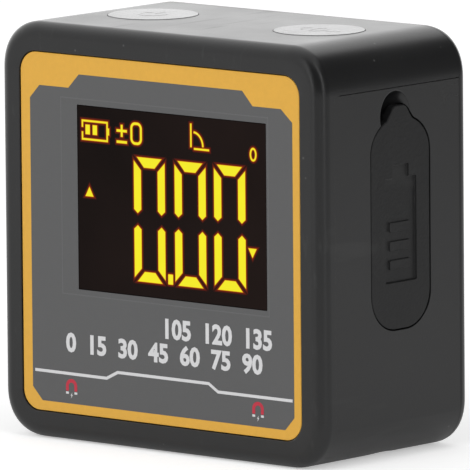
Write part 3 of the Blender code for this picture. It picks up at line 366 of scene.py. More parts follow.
def split(vector):
    """The three parts of a place or direction."""
    return add_node(vector, "SeparateXYZ", {0: vector}).outputs


def texture(place, kind, scale, inputs=None, **settings):
    """A texture node over places."""
    return add_node(place, "Tex" + kind, {"Vector": place, "Scale": scale, **(inputs or {})}, **settings).outputs


def noise(place, scale, detail, roughness=0.5):
    """Cloudy noise about 0.5."""
    return texture(place, "Noise", scale, {"Detail": detail, "Roughness": roughness})["Fac"]


def stretched(place, scale, turn=(0.0, 0.0, 0.0)):
    """Places turned and scaled, so that a texture is drawn out."""
    return add_node(place, "Mapping", {"Vector": place, "Rotation": turn, "Scale": scale}).outputs[0]


def new_group(name, values, outputs):
    """An empty shader group: its output node, the socket of its places, then a socket for each named value."""
    tree = bpy.data.node_groups.new(name, "ShaderNodeTree")
    tree.interface.new_socket(name="Vector", in_out="INPUT", socket_type="NodeSocketVector")
    for label, default in values.items():
        socket = tree.interface.new_socket(name=label, in_out="INPUT", socket_type="NodeSocketFloat")
        socket.default_value = default
    for label in outputs:
        tree.interface.new_socket(name=label, in_out="OUTPUT", socket_type="NodeSocketFloat")
    source, sink = (tree.nodes.new("NodeGroup" + kind) for kind in ("Input", "Output"))
    return sink, *source.outputs[:len(values) + 1]


def make_grain_group(name):
    """Spark-eroded mould texture: small cells and noise make the height, slow noise makes tone and gloss vary."""
    sink, place, density, clouds = new_group(name, {"Cells per Metre": 4000.0, "Cloud per Metre": 90.0},
                                             ("Height", "Tone", "Gloss"))
    cells = texture(place, "Voronoi", density, {"Smoothness": 0.6}, feature="SMOOTH_F1")["Distance"]
    fine = noise(place, mul(density, 0.55), 4.0, 0.7)
    cloud = noise(place, clouds, 3.0, 0.55)
    feed(sink, {0: add(mul(cells, 0.7), mul(fine, 0.8)),
                1: sub(add(mul(cloud, 0.6), mul(fine, 0.4)), 0.5),
                2: sub(cloud, 0.5)})


def make_speck_group(name):
    """Dust and tiny nicks: points of a cell pattern whose random value is low and whose distance is small."""
    sink, place, density, share, size = new_group(name, {"Cells per Metre": 450.0, "Share": 0.12, "Size": 0.09},
                                                  ("Mask",))
    cells = texture(place, "Voronoi", density)
    chance = add_node(place, "SeparateColor", {0: cells["Color"]}).outputs[0]
    near = sub(1.0, calc("DIVIDE", cells["Distance"], size), clamp=True)
    feed(sink, {0: mul(calc("LESS_THAN", chance, share), near)})


def make_scuff_group(name):
    """Hairline scuffs: stretched noise cut to its crests, faded in and out by slow noise."""
    sink, place, density = new_group(name, {"Lines per Metre": 900.0}, ("Mask",))
    lines = noise(stretched(place, (1.0, 0.05, 0.3), (0.4, 0.9, 0.6)), density, 2.0)
    patch = noise(place, 60.0, 1.0)
    feed(sink, {0: mul(ranged(lines, 0.62, 0.72), ranged(patch, 0.48, 0.66))})


GROUP_MAKERS = {"Mould Grain": make_grain_group, "Dust Specks": make_speck_group,
                "Hairline Scuffs": make_scuff_group}


def effect(name, place, values=None):
    """A shared effect placed in a material with its own values."""
    if name not in bpy.data.node_groups:
        GROUP_MAKERS[name](name)
    return add_node(place, "Group", {"Vector": place, **(values or {})}, node_tree=bpy.data.node_groups[name]).outputs


def scaled(colour, gain):
    """A colour times a gain, channel by channel."""
    return add_node(gain, "VectorMath", {0: colour, "Scale": gain}, operation="SCALE").outputs[0]


def tinted(colour, factor, strength):
    """The colour times 1 + strength * factor."""
    return scaled((*colour,), line(factor, strength, 1.0))


def mixed(factor, a, b):
    """Colour a where the factor is 0, colour b where it is 1."""
    a, b = [value if isinstance(value, bpy.types.NodeSocket) else (*value, 1.0) for value in (a, b)]
    return add_node(factor, "Mix", {0: factor, 6: a, 7: b}, data_type="RGBA").outputs[2]


def bump(shader, height, distance, strength):
    """Raise the surface by a height, over a distance in millimetres."""
    node = add_node(shader, "Bump", {"Height": height, "Distance": distance * MM, "Strength": strength})
    feed(shader, {"Normal": node.outputs[0]})


# Recipes of the materials: each fills the shader from the object coordinates

def plastic(shader, place, colour, roughness, cells=4000.0, depth=0.010, tone=0.25, gloss=0.12, specular=0.5,
            dust=0.10, frost=0.0):
    """Moulded plastic: grain in the height, slow tone and gloss changes, pale crests, dust and hairline scuffs."""
    grain = effect("Mould Grain", place, {"Cells per Metre": cells})
    specks = effect("Dust Specks", place, {"Share": 0.30, "Size": 0.10})[0]
    scuffs = effect("Hairline Scuffs", place)[0]
    marks = add(mul(specks, dust), mul(scuffs, dust * 0.12), clamp=True)
    marks = add(marks, mul(calc("MAXIMUM", grain["Tone"], 0.0), frost), clamp=True)
    rough = line(grain["Gloss"], gloss, roughness, clamp=True)
    feed(shader, {"Base Color": mixed(marks, tinted(colour, grain["Tone"], tone), (0.42, 0.42, 0.41)),
                  "Roughness": add(rough, mul(scuffs, 0.08)), "Specular IOR Level": specular})
    bump(shader, grain["Height"], depth, 1.0)


def metal(shader, place, colour, roughness, brush=(1.0, 1.0, 1.0)):
    """Plated metal: stretched noise brushes it, slow noise dulls it in patches."""
    lines = noise(stretched(place, brush), 5200.0, 3.0)
    shade = sub(noise(place, 320.0, 4.0), 0.5)
    feed(shader, {"Base Color": tinted(colour, shade, -0.25), "Metallic": 1.0,
                  "Roughness": add(line(shade, 0.3, roughness), mul(lines, 0.12))})
    bump(shader, lines, 0.004, 0.8)


def print_ink(shader, place, colour, roughness=0.42, weave=0.05):
    """Screen-printed ink on film: a fine mesh pattern in its height and a slight mottle in its tone."""
    mesh = [texture(place, "Wave", 900.0, {"Distortion": 1.5, "Detail": 1.0}, bands_direction=way)["Fac"]
            for way in ("X", "Z")]
    mottle = noise(place, 1400.0, 5.0, 0.65)
    shade = sub(mottle, 0.5)
    feed(shader, {"Base Color": tinted(colour, shade, weave * 3), "Roughness": line(shade, 0.25, roughness),
                  "Specular IOR Level": 0.35})
    bump(shader, add(add(*mesh), mul(mottle, 1.5)), 0.003, 0.6)


def screen_face(shader, place, colour):
    """Dark filter of the display: nearly black, a little warmer where slow noise is high, lighter towards the right and
    the bottom by painted light, faintly smudged.
    """
    cloud = noise(place, 70.0, 3.0)
    shade = sub(cloud, 0.5)
    x, _, z = split(place)
    # Painted light: the filter's colour grows lighter towards the right and towards the bottom.
    slope = sub(mul(x, 14.0), mul(sub(z, 0.0355), 10.0))
    smudge = effect("Hairline Scuffs", place)[0]
    feed(shader, {"Base Color": tinted(colour, add(shade, slope), 0.9), "Specular IOR Level": 0.05,
                  "Roughness": add(mul(smudge, 0.1), line(shade, 0.08, 0.16))})
    bump(shader, cloud, 0.02, 0.3)


def lit_face(shader, place, colour, dark):
    """Lit display bars: the attribute glow runs from the unlit face through dark red and orange to the lit colour."""
    glow = add_node(place, "Attribute", attribute_name="glow").outputs["Fac"]
    ramp = add_node(place, "ValToRGB", {0: glow})
    stops = ramp.color_ramp.elements
    stops[0].color, stops[1].color = (0.0, 0.0, 0.0, 1.0), (*colour, 1.0)
    for position, tone in ((0.35, (0.085, 0.004, 0.0)), (0.62, (0.45, 0.05, 0.0)), (0.85, (0.80, 0.42, 0.0))):
        stops.new(position).color = (*tone, 1.0)
    ripple = noise(place, 260.0, 2.0)
    feed(shader, {"Emission Color": scaled(ramp.outputs[0], line(ripple, 0.10, 0.95)), "Emission Strength": 1.0,
                  "Base Color": (*dark, 1.0), "Roughness": line(ripple, 0.06, 0.13), "Specular IOR Level": 0.05})


def board_face(shader, place):
    """Green circuit board: copper lines show under the lacquer as a lighter, slightly raised pattern."""
    edges = texture(place, "Voronoi", 520.0, {"Randomness": 0.35}, feature="DISTANCE_TO_EDGE")["Distance"]
    copper = ranged(edges, 0.10, 0.07)
    weave = effect("Mould Grain", place, {"Cells per Metre": 2600.0})
    lacquer = tinted((0.012, 0.120, 0.045), weave["Tone"], 0.5)
    feed(shader, {"Base Color": mixed(copper, lacquer, (0.035, 0.26, 0.10)),
                  "Roughness": line(weave["Gloss"], 0.2, 0.34)})
    bump(shader, copper, 0.03, 0.6)


def glass_face(shader, place):
    """Display glass: dark and clear, with a faint smudge in its gloss."""
    smudge = noise(place, 140.0, 4.0)
    feed(shader, {"Roughness": mul(smudge, 0.14), "Base Color": tinted((0.16, 0.15, 0.14), smudge, 0.3),
                  "Transmission Weight": 0.6, "IOR": 1.5})


def strip_rubber(shader, place):
    """Contact strip: thin dark carbon layers between pink rubber, as bands along the strip."""
    bands = texture(place, "Wave", 420.0, {"Distortion": 0.2}, bands_direction="X")["Fac"]
    feed(shader, {"Base Color": mixed(ranged(bands, 0.45, 0.55), (0.36, 0.11, 0.12), (0.03, 0.02, 0.02)),
                  "Roughness": line(noise(place, 2400.0, 3.0), 0.2, 0.55)})
    bump(shader, bands, 0.02, 0.5)


def jacket(shader, place):
    """Cell jacket: printed film with a bright ring at each end, where X lies in a narrow band."""
    grain = effect("Mould Grain", place, {"Cells per Metre": 3000.0})
    away = calc("ABSOLUTE", sub(split(place)[0], 0.0035))
    band = add_node(place, "Math", {0: away, 1: 0.0180, 2: 0.0022}, operation="COMPARE").outputs[0]
    film = tinted((0.030, 0.032, 0.036), grain["Tone"], 0.3)
    feed(shader, {"Base Color": mixed(band, film, (0.62, 0.33, 0.10)), "Coat Weight": 0.4,
                  "Roughness": line(grain["Gloss"], 0.2, 0.26)})
    bump(shader, grain["Height"], 0.004, 0.5)


def pale_floor(shader, place):
    """Pale floor: it shines by itself to the camera, and a little in mirrored rays."""
    rays, seen = ray_switch(place)
    feed(shader, {"Base Color": (0.82, 0.82, 0.82, 1.0), "Roughness": 0.9, "Specular IOR Level": 0.0,
                  "Emission Color": (1.0, 1.0, 1.0, 1.0),
                  "Emission Strength": add(mul(seen, 0.42), mul(rays["Is Glossy Ray"], 0.09))})


def recipe(name):
    """How each finish is made."""
    c = colours()
    case = partial(plastic, colour=c.plastic, depth=0.008, dust=0.22, frost=0.02)
    grey = partial(print_ink, roughness=0.46, weave=0.04)
    return {
        "case_plastic": partial(case, roughness=0.30),
        "cover_plastic": partial(case, roughness=0.31, cells=3600.0),
        "door_plastic": partial(plastic, colour=c.door, roughness=0.46, cells=2300.0, depth=0.026, tone=0.6,
                                gloss=0.2, dust=0.35, specular=0.37, frost=0.09),
        "button_plastic": partial(plastic, colour=c.button, roughness=0.25, cells=6000.0, depth=0.003, tone=0.12,
                                  dust=0.04, specular=0.72),
        "tray_plastic": partial(plastic, colour=(0.020, 0.020, 0.021), roughness=0.5, cells=3000.0, depth=0.008),
        "white_plastic": partial(plastic, colour=(0.62, 0.62, 0.60), roughness=0.42, cells=3500.0, depth=0.006,
                                 tone=0.06, dust=0.02),
        "chip_plastic": partial(plastic, colour=(0.016, 0.016, 0.018), roughness=0.44, cells=5000.0, depth=0.006,
                                dust=0.03),
        "light_guide": partial(plastic, colour=(0.80, 0.66, 0.20), roughness=0.30, cells=2500.0, depth=0.004,
                               tone=0.08, dust=0.02),
        "label_orange": partial(print_ink, colour=c.orange),
        "label_grey": partial(grey, colour=c.grey),
        # Painted reflection: the label's grey made lighter for the stroke round the display window.
        "label_seam": partial(grey, colour=[x * 1.22 for x in c.grey]),
        "print_white": partial(print_ink, colour=c.white, roughness=0.5, weave=0.03),
        "print_red": partial(print_ink, colour=c.red, roughness=0.5, weave=0.04),
        "display_face": partial(screen_face, colour=c.screen),
        "display_lit": partial(lit_face, colour=c.lit, dark=c.screen),
        "display_glass": glass_face,
        "contact_rubber": strip_rubber,
        "circuit_board": board_face,
        "cell_jacket": jacket,
        "contact_metal": partial(metal, colour=(0.70, 0.67, 0.60), roughness=0.20, brush=(1.0, 1.0, 0.08)),
        "magnet_nickel": partial(metal, colour=(0.60, 0.59, 0.57), roughness=0.16),
        "screw_steel": partial(metal, colour=(0.115, 0.115, 0.120), roughness=0.30, brush=(1.0, 0.2, 1.0)),
        "cell_steel": partial(metal, colour=(0.63, 0.62, 0.60), roughness=0.22),
        "pale_floor": pale_floor,
    }[name]


def material(name):
    """A finish, made once."""
    finish = bpy.data.materials.get("finish_" + name)
    if not finish:
        finish = bpy.data.materials.new("finish_" + name)
        finish.use_nodes = True
        shader = finish.node_tree.nodes["Principled BSDF"]
        recipe(name)(shader, add_node(shader, "TexCoord").outputs["Object"])
    return finish


# Outlines and places shared by several pieces

CASE = (CASE_LOW[0], CASE_LOW[2], CASE_HIGH[0], CASE_HIGH[2])
LABEL = (-26.08 * MM, 4.08 * MM, 26.08 * MM, 55.75 * MM)
SCREEN = (-15.30 * MM, 22.26 * MM, 19.86 * MM, 48.65 * MM)
FLANGE = (WINDOW_LOW[0], WINDOW_LOW[2], WINDOW_HIGH[0], WINDOW_HIGH[2])
FLANGE_FRONT = LABEL_HIGH[1] + 0.3 * MM
SCREEN_RADIUS = 0.12 * MM
DOOR_Y = (DOOR_LOW[1] + DOOR_HIGH[1]) / 2 - 0.12 * MM
DOOR_HALF = (DOOR_HIGH[1] - DOOR_LOW[1]) / 2 - 0.12 * MM
DOOR_BOTTOM = 18.62 * MM
DOOR_SHOULDER, DOOR_SHOULDER_RISE = 43.70 * MM, 5.1 * MM
DOOR_TAB = (2.75 * MM, 1.95 * MM, 1.35 * MM)
DOOR_TOP = DOOR_HIGH[2] - 0.25 * MM
DOOR_FOOT_RADIUS = 5.2 * MM
FIELD_LOW = 5.0 * MM
INK = 0.02 * MM


def centre_of(node, *axes):
    """Middle of a CAD piece's box along the axes given."""
    low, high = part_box(node)
    return [(low[i] + high[i]) / 2 for i in axes]


def rods(nodes, axis, radius, start, end, steps=48):
    """A rod through the middle of each CAD piece named."""
    across = [i for i in range(3) if "XYZ"[i] != axis]
    return [rod(node, axis, centre_of(node, *across), radius, start, end, steps) for node in nodes]


def button_place(name):
    """Middle of a push button across the top."""
    x, y = centre_of(name, 0, 1)
    return x, y - 0.50 * MM


def seam_sides():
    """Where the shell ends and the rear cover starts along the depth, with the seam gap between them."""
    middle = CASE_HIGH[1] + 0.125 * MM
    return middle - sizes().seam_gap / 2, middle + sizes().seam_gap / 2


def case_row(inset, place):
    """One ring of the case: the front's rectangle, shrunk by inset all round."""
    return grown(CASE, -inset, sizes().corner_radius - inset, place)


def label_row(grow, place):
    """One ring of the label's outline, grown all round."""
    return grown(LABEL, grow, sizes().label_radius + grow, place)


def door_outline(grow, with_tab=True, steps=24):
    """The battery door seen from the side: round foot, straight sides, round shoulders and a snap tab on top."""
    half, foot = DOOR_HALF + grow, DOOR_FOOT_RADIUS + grow
    flat, bottom = half - foot, DOOR_BOTTOM - grow
    shoulder = partial(arc_path, (DOOR_Y, DOOR_SHOULDER), half, DOOR_SHOULDER_RISE + grow)
    arcs = [shoulder(0, 180, 2 * steps)]
    if with_tab:
        base, tip, corner = [value + grow for value in DOOR_TAB]
        top = DOOR_TOP + grow
        edge = math.degrees(math.acos(base / half))
        arcs = [shoulder(0, edge, steps),
                arc_path((DOOR_Y + tip - corner, top - corner), corner, corner, 20, 90, 10),
                arc_path((DOOR_Y - tip + corner, top - corner), corner, corner, 90, 160, 10),
                shoulder(180 - edge, 180, steps)]
    right, left = [arc_path((DOOR_Y + side * flat, bottom + foot), foot, foot, start, start + 90, steps)
                   for side, start in ((1, -90), (-1, 180))]
    return np.concatenate([right, *arcs, left])


def door_rings(rows, with_tab=True):
    """Rings of the door's outline: row (grow, x)."""
    return layers("X", [(door_outline(grow, with_tab), x) for grow, x in rows])


def side_field():
    """Where the sunk field round the door lies."""
    return SIDE - sizes().insert_depth


def door_planes():
    """The door's face and back, and the front and back of the ledge that it rests on."""
    face = DOOR_HIGH[0]
    return face, face - 1.25 * MM, face - 1.55 * MM, face - 3.15 * MM


# Case

def case_skin():
    """The moulded shell as one closed profile carried round the box.

    The profile runs from the display opening over the label's pocket, its rim, the front face, the quarter circle
    of the front edge and the side to the seam, and back along the inner wall.
    """
    s = sizes()
    back, inner, margin = seam_sides()[0], WINDOW_HIGH[1], 0.15 * MM
    opening = [grown(FLANGE, 0.1 * MM, SCREEN_RADIUS, y) for y in (FLANGE_FRONT, inner)]
    face = [opening[0], label_row(margin, FLANGE_FRONT)]
    face += [label_row(margin + u, FRONT + v) for u, v in quarter(0.14 * MM, 6)]
    body = [case_row(v, FRONT + u) for u, v in quarter(s.front_round, 19)]
    body += [case_row(u, back - v) for u, v in quarter(0.012 * MM, 4)]
    body += [case_row(s.wall, y) for y in (back, inner)]
    power = [2.0] * len(face) + [s.corner_power] * len(body) + [2.0]
    return tube(rect_rings(face + body + opening[1:], steps=28, power=power), closed=True)


def case_additions():
    """What stands inside the shell: screw bosses, board posts, magnet wells, cradle ribs and the door's surround."""
    overlap, play, floor = 0.4 * MM, 0.3 * MM, 1.6 * MM
    boss_radius, post_radius, well_radius = 2.4 * MM, 2.1 * MM, 5.95 * MM
    inside = WINDOW_HIGH[1] - overlap
    parts = rods(COVER_SCREWS, "Y", boss_radius, inside, CASE_HIGH[1] - 0.2 * MM)
    parts += rods(BOARD_SCREWS, "Y", post_radius, inside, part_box("main_board")[0][1] - play)
    parts += rods(MAGNETS, "Z", well_radius, floor, MAGNET_TOP + floor)
    half, margin = 0.6 * MM, 1.0 * MM
    parts += [slab("cradle", (x - half, TRAY_LOW[1] + margin, floor), (x + half, TRAY_HIGH[1] - margin,
                                                                       TRAY_LOW[2] - play))
              for x in (-8.75 * MM, 8.75 * MM)]
    ledge_back, wall_inside = door_planes()[3], SIDE - sizes().wall + overlap
    parts.append(tool("door surround", door_rings([(1.45 * MM, x) for x in (ledge_back, wall_inside)])))
    parts.append(rod("notch backing", "X", (DOOR_Y - 1.15 * MM, 49.6 * MM), 4.2 * MM, ledge_back + 0.1 * MM,
                     wall_inside))
    return parts


def flared(radius, inside, surface, outside, flare=0.1 * MM):
    """A hole's profile that opens in a quarter round where it meets the surface."""
    mouth = [(radius + u, surface - v) for u, v in quarter(flare, 6)]
    return [(radius, inside)] + mouth + [(radius + flare, outside)]


def groove_rings(beyond):
    """The base groove: across its width the depth is half of 1 + cos, drawn out past both sides."""
    s = sizes()
    half, past = s.groove_width / 2, 1 * MM
    share = np.linspace(1, -1, 33)
    floor = s.groove_depth * 0.5 * (1 + np.cos(math.pi * share)) - 0.01 * MM
    below = [(DOOR_Y - half - past, -past), (DOOR_Y + half + past, -past)]
    outline = np.concatenate([below, np.stack([DOOR_Y + half * share, floor], axis=1)])
    return layers("X", [(outline, -beyond), (outline, beyond)])


def case_cuts():
    """Openings of the shell, each with a rounded mouth: buttons, magnets, groove, door seat, doorway and notch."""
    s = sizes()
    field = side_field()
    _, _, ledge, ledge_back = door_planes()
    past = 1 * MM
    beyond = SIDE + past
    cuts = [tool("groove", groove_rings(beyond))]
    for name in BUTTON_BODIES:
        profile = flared(6.60 * MM, TOP - 3 * MM, TOP, TOP + past, 0.05 * MM)
        cuts.append(tool(f"hole {name}", turned_rings("Z", button_place(name), profile, 96)))
    pocket_radius, bore_radius, bore_depth = 4.65 * MM, 1.1 * MM, 8 * MM
    cuts += rods(MAGNETS, "Z", pocket_radius, -past, MAGNET_TOP + 0.3 * MM, 64)
    cuts += rods(COVER_SCREWS, "Y", bore_radius, CASE_HIGH[1] - bore_depth, CASE_HIGH[1] + past, 20)
    start, end, high = FRONT + s.insert_set_back, CASE_HIGH[1] + 2 * MM, TOP - s.insert_margin
    slope, sharp = 0.12 * MM, 0.01 * MM
    rows = [(y, FIELD_LOW, end, high, sharp, x)
            for y, x in ((start, field), (start - slope, SIDE), (start - slope, beyond))]
    cuts.append(tool("side field", rect_rings(rows, "X", 3)))
    cuts.append(slab("field groove", (field - 0.30 * MM, start + past, high - 0.05 * MM),
                     (beyond, end, high + 0.08 * MM)))
    mouth = [(0.20 * MM, ledge), (0.20 * MM, field - 0.10 * MM), (0.22 * MM, field - 0.04 * MM),
             (0.26 * MM, field), (0.26 * MM, beyond)]
    cuts.append(tool("door seat", door_rings(mouth)))
    cuts.append(tool("doorway", door_rings([(-1.2 * MM, ledge_back - past), (-1.2 * MM, SIDE)], False)))
    cuts.append(notch_tool(field, beyond))
    return cuts


def notch_tool(field, beyond):
    """The thumb notch as depths over a polar grid: steep towards the front, fading out towards the upper rear.

    depth = deepest * (w * (1 - s ** 5) + (1 - w) * (1 - s ** 2) ** 2), where s is the share of the radius and w runs
    from 0 to 1 with the cosine of the turning angle; a small lip rounds the steep rim.
    """
    wide, tall, deepest, lip, flare, steps = 3.20 * MM, 3.55 * MM, 2.1 * MM, 0.30 * MM, 0.09, 96
    turn = np.arange(steps)[None, :] * 2 * math.pi / steps
    share = np.sin(np.radians(np.linspace(2, 90, 28)))[:, None]
    steep = (0.5 + 0.5 * np.cos(turn - math.radians(150))) ** 1.15
    depth = deepest * (steep * (1 - share ** 5) + (1 - steep) * (1 - share ** 2) ** 2) + lip * steep
    depths, reaches = [depth], [np.broadcast_to(share, depth.shape)]
    for k in (0.3, 0.6, 0.85, 0.96, 1.0):
        depths.append(depth[-1:] * (1 - k))
        reaches.append(1 + flare * steep * (1 - math.sqrt(1 - k * k)))
    depth = np.concatenate(depths + [np.full((1, steps), field - beyond)])
    reach = np.concatenate(reaches + reaches[-1:])
    return tool("notch", in_space("X", DOOR_Y - 1.03 * MM + wide * reach * np.cos(turn),
                                  48.92 * MM + tall * reach * np.sin(turn), field - depth))


class GAUGE_OT_case(bpy.types.Operator):
    """Build the moulded front shell with its openings, pockets and inner bosses"""

    bl_idname = "gauge.case"
    bl_label = "Case Shell"

    def execute(self, context):
        shell = skin_object("case_shell", [case_skin()], "case_plastic")
        carve(shell, "UNION", case_additions())
        carve(shell, "DIFFERENCE", case_cuts())
        finish_piece(shell, "case", "black_plastic", "front_housing")
        return {"FINISHED"}


class GAUGE_OT_cover(bpy.types.Operator):
    """Build the rear cover with its counterbored screw holes, and the four cross-slotted screws"""

    bl_idname = "gauge.cover"
    bl_label = "Rear Cover"

    def execute(self, context):
        s = sizes()
        start, past = seam_sides()[1], 1 * MM
        rows = [case_row(v, start + u) for u, v in quarter(0.012 * MM, 4)]
        rows += [case_row(u, REAR - v) for u, v in quarter(s.rear_round, 17)]
        cover = skin_object("cover_plate", [tube(rect_rings(rows, steps=28, power=s.corner_power))], "cover_plastic")
        near, far, gap, thick = start - 1.6 * MM, start + 0.4 * MM, s.wall + 0.2 * MM, 1.0 * MM
        rows = [case_row(gap, near), case_row(gap, far), case_row(gap + thick, far), case_row(gap + thick, near)]
        lip = skin_object("lip", [tube(rect_rings(rows, steps=12), closed=True)])
        carve(lip, "DIFFERENCE", rods(COVER_SCREWS, "Y", 3.0 * MM, start - 3 * MM, start))
        carve(cover, "UNION", [lip])
        seat = REAR - 1.2 * MM
        profile = [(1.2 * MM, start - past), (1.2 * MM, seat)] + flared(2.2 * MM, seat, REAR, REAR + past)
        holes = [tool(f"seat {name}", turned_rings("Y", centre_of(name, 0, 2), profile, 48)) for name in COVER_SCREWS]
        ramp = [(start - 2 * MM, FIELD_LOW, start + run * MM, TOP - s.insert_margin, 0.01 * MM, x)
                for run, x in ((0.01, side_field()), (0.2, SIDE), (0.2, SIDE + past))]
        holes.append(tool("field run-out", rect_rings(ramp, "X", 3)))
        carve(cover, "DIFFERENCE", holes)
        finish_piece(cover, "case", "black_plastic", "rear_cover")
        for name in COVER_SCREWS:
            self.screw(name)
        return {"FINISHED"}

    def screw(self, node):
        """A pan head on a threaded shank: the head is an arc turned about Y, the thread a small saw wave in radius."""
        low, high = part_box(node)
        head, face, bow = 2.0 * MM, high[1], 1.2
        thread = np.linspace(low[1] + 0.8 * MM, face - 1.0 * MM, 23)
        profile = [(0.35 * MM, low[1])] + [(0.9 * MM + 0.1 * MM * (i % 2), y) for i, y in enumerate(thread)]
        profile += [(1.0 * MM, face - 0.9 * MM), (head * 0.97, face - 0.9 * MM), (head, face - 0.8 * MM)]
        profile += [(head * math.sin(a), face - 0.44 * MM * (1 - math.cos(a)) / (1 - math.cos(bow)))
                    for a in np.linspace(bow, 0.2, 8)]
        x, z = centre_of(node, 0, 2)
        item = skin_object(node.replace("cover_", "case_"), [tube(turned_rings("Y", (x, z), profile, 40))],
                           "screw_steel")
        slots = []
        for u, v in ((1.2 * MM, 0.27 * MM), (0.27 * MM, 1.2 * MM)):
            rows = [(x - u * k, z - v * k, x + u * k, z + v * k, 0.08 * MM, face + y * MM)
                    for k, y in ((0.55, -0.75), (1.0, -0.05), (1.08, 0.5))]
            slots.append(tool("cross slot", rect_rings(rows, steps=3)))
        carve(item, "DIFFERENCE", slots)
        finish_piece(item, "case", "screw_steel", node)


class GAUGE_OT_magnets(bpy.types.Operator):
    """Build the two nickel-plated magnets in the base"""

    bl_idname = "gauge.magnets"
    bl_label = "Base Magnets"

    def execute(self, context):
        for name in MAGNETS:
            low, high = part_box(name)
            radius, soft = (high[0] - low[0]) / 2, 0.25 * MM
            profile = [*arc_path((radius - soft, low[2] + soft), soft, soft, -90, 0, 6),
                       *arc_path((radius - soft, high[2] - soft), soft, soft, 0, 90, 6)]
            rings = turned_rings("Z", centre_of(name, 0, 1), profile, 96)
            item = skin_object(name.replace("magnet", "base_magnet"), [tube(rings)], "magnet_nickel")
            finish_piece(item, "case", "magnet_nickel", name)
        return {"FINISHED"}


# Label and print

def field_outline():
    """The grey field's twelve corners, counter-clockwise: cut corners and a raised middle along the top."""
    x0, x1, z0, z1 = -24.32, 24.80, 5.50, 51.02
    return np.array([(-22.5, z0), (23.1, z0), (x1, 7.36), (x1, 49.22), (22.72, z1), (17.5, z1), (15.6, 53.08),
                     (-15.0, 53.08), (-17.0, z1), (-22.5, z1), (x0, 49.12), (x0, 7.40)]) * MM


def reach(outline, middle, rays):
    """Distance from a middle to a closed outline along each ray: its nearest crossing with an edge."""
    start = (outline - middle)[None]
    edge = np.roll(start, -1, axis=1) - start
    ray, tiny = rays[:, None], 1e-12
    cross = ray[..., 0] * edge[..., 1] - ray[..., 1] * edge[..., 0]
    cross = np.where(np.abs(cross) < tiny, tiny, cross)
    away = (start[..., 0] * edge[..., 1] - start[..., 1] * edge[..., 0]) / cross
    share = (start[..., 0] * ray[..., 1] - start[..., 1] * ray[..., 0]) / cross
    hit = (share >= -1e-6) & (share <= 1 + 1e-6) & (away > 0)
    return np.where(hit, away, np.inf).min(axis=1)


def band_between(inner, outer, rows):
    """A film with a hole: each ring is the inner outline's reach at an angle blended towards the outer's.

    Row (side, place): side 0 is the inner outline, 1 the outer, and place is the ring's depth.
    """
    middle = (inner.min(axis=0) + inner.max(axis=0)) / 2
    corners = np.concatenate([inner, outer]) - middle
    angles = np.unique(np.round(np.arctan2(corners[:, 1], corners[:, 0]), 7))
    rays = np.stack([np.cos(angles), np.sin(angles)], axis=1)
    near, far = reach(inner, middle, rays)[:, None], reach(outer, middle, rays)[:, None]
    return tube(layers("Y", [(middle + (near + (far - near) * side) * rays, y) for side, y in rows]), closed=True)


def stroke_skin(path, width, front, closed=False):
    """A printed line: a thin rectangle carried along the path."""
    sides = stroke_sides(np.array(path), np.array([-width / 2, width / 2]), closed)[:, [0, 1, 1, 0]]
    return tube(in_space("Y", sides[..., 0], sides[..., 1], front + np.array([0, 0, INK, INK])), closed)


def plate_skin(outline, front):
    """A printed shape: its outline drawn out by the ink's thickness."""
    return tube(layers("Y", [(outline, front), (outline, front + INK)]))


def text_skin(text, low, high, front):
    """Plain figures from the built-in letters, set into a rectangle and drawn out by the ink's thickness."""
    curve = bpy.data.curves.new("figures", "FONT")
    curve.body, curve.size, curve.offset, curve.extrude, curve.resolution_u = text, 1.0, 0.036, 0.05, 3
    item = linked("figures", curve)
    mesh = worked_mesh(item)
    places = np.zeros(len(mesh.vertices) * 3)
    mesh.vertices.foreach_get("co", places)
    places = places.reshape(-1, 3)
    faces = [list(face.vertices) for face in mesh.polygons]
    bpy.data.objects.remove(item, do_unlink=True)
    least, most = places.min(axis=0), places.max(axis=0)
    share = (places - least) / (most - least)
    u, v = (np.array(low) + share[:, :2] * (np.array(high) - low)).T * MM
    return in_space("Y", u, v, front + INK * (1 - share[:, 2])), faces


def printed(name, parts, finish, angle=32.0):
    """A printed piece on the label."""
    finish_piece(skin_object(name, parts, finish), "case", "label_film", angle=angle)


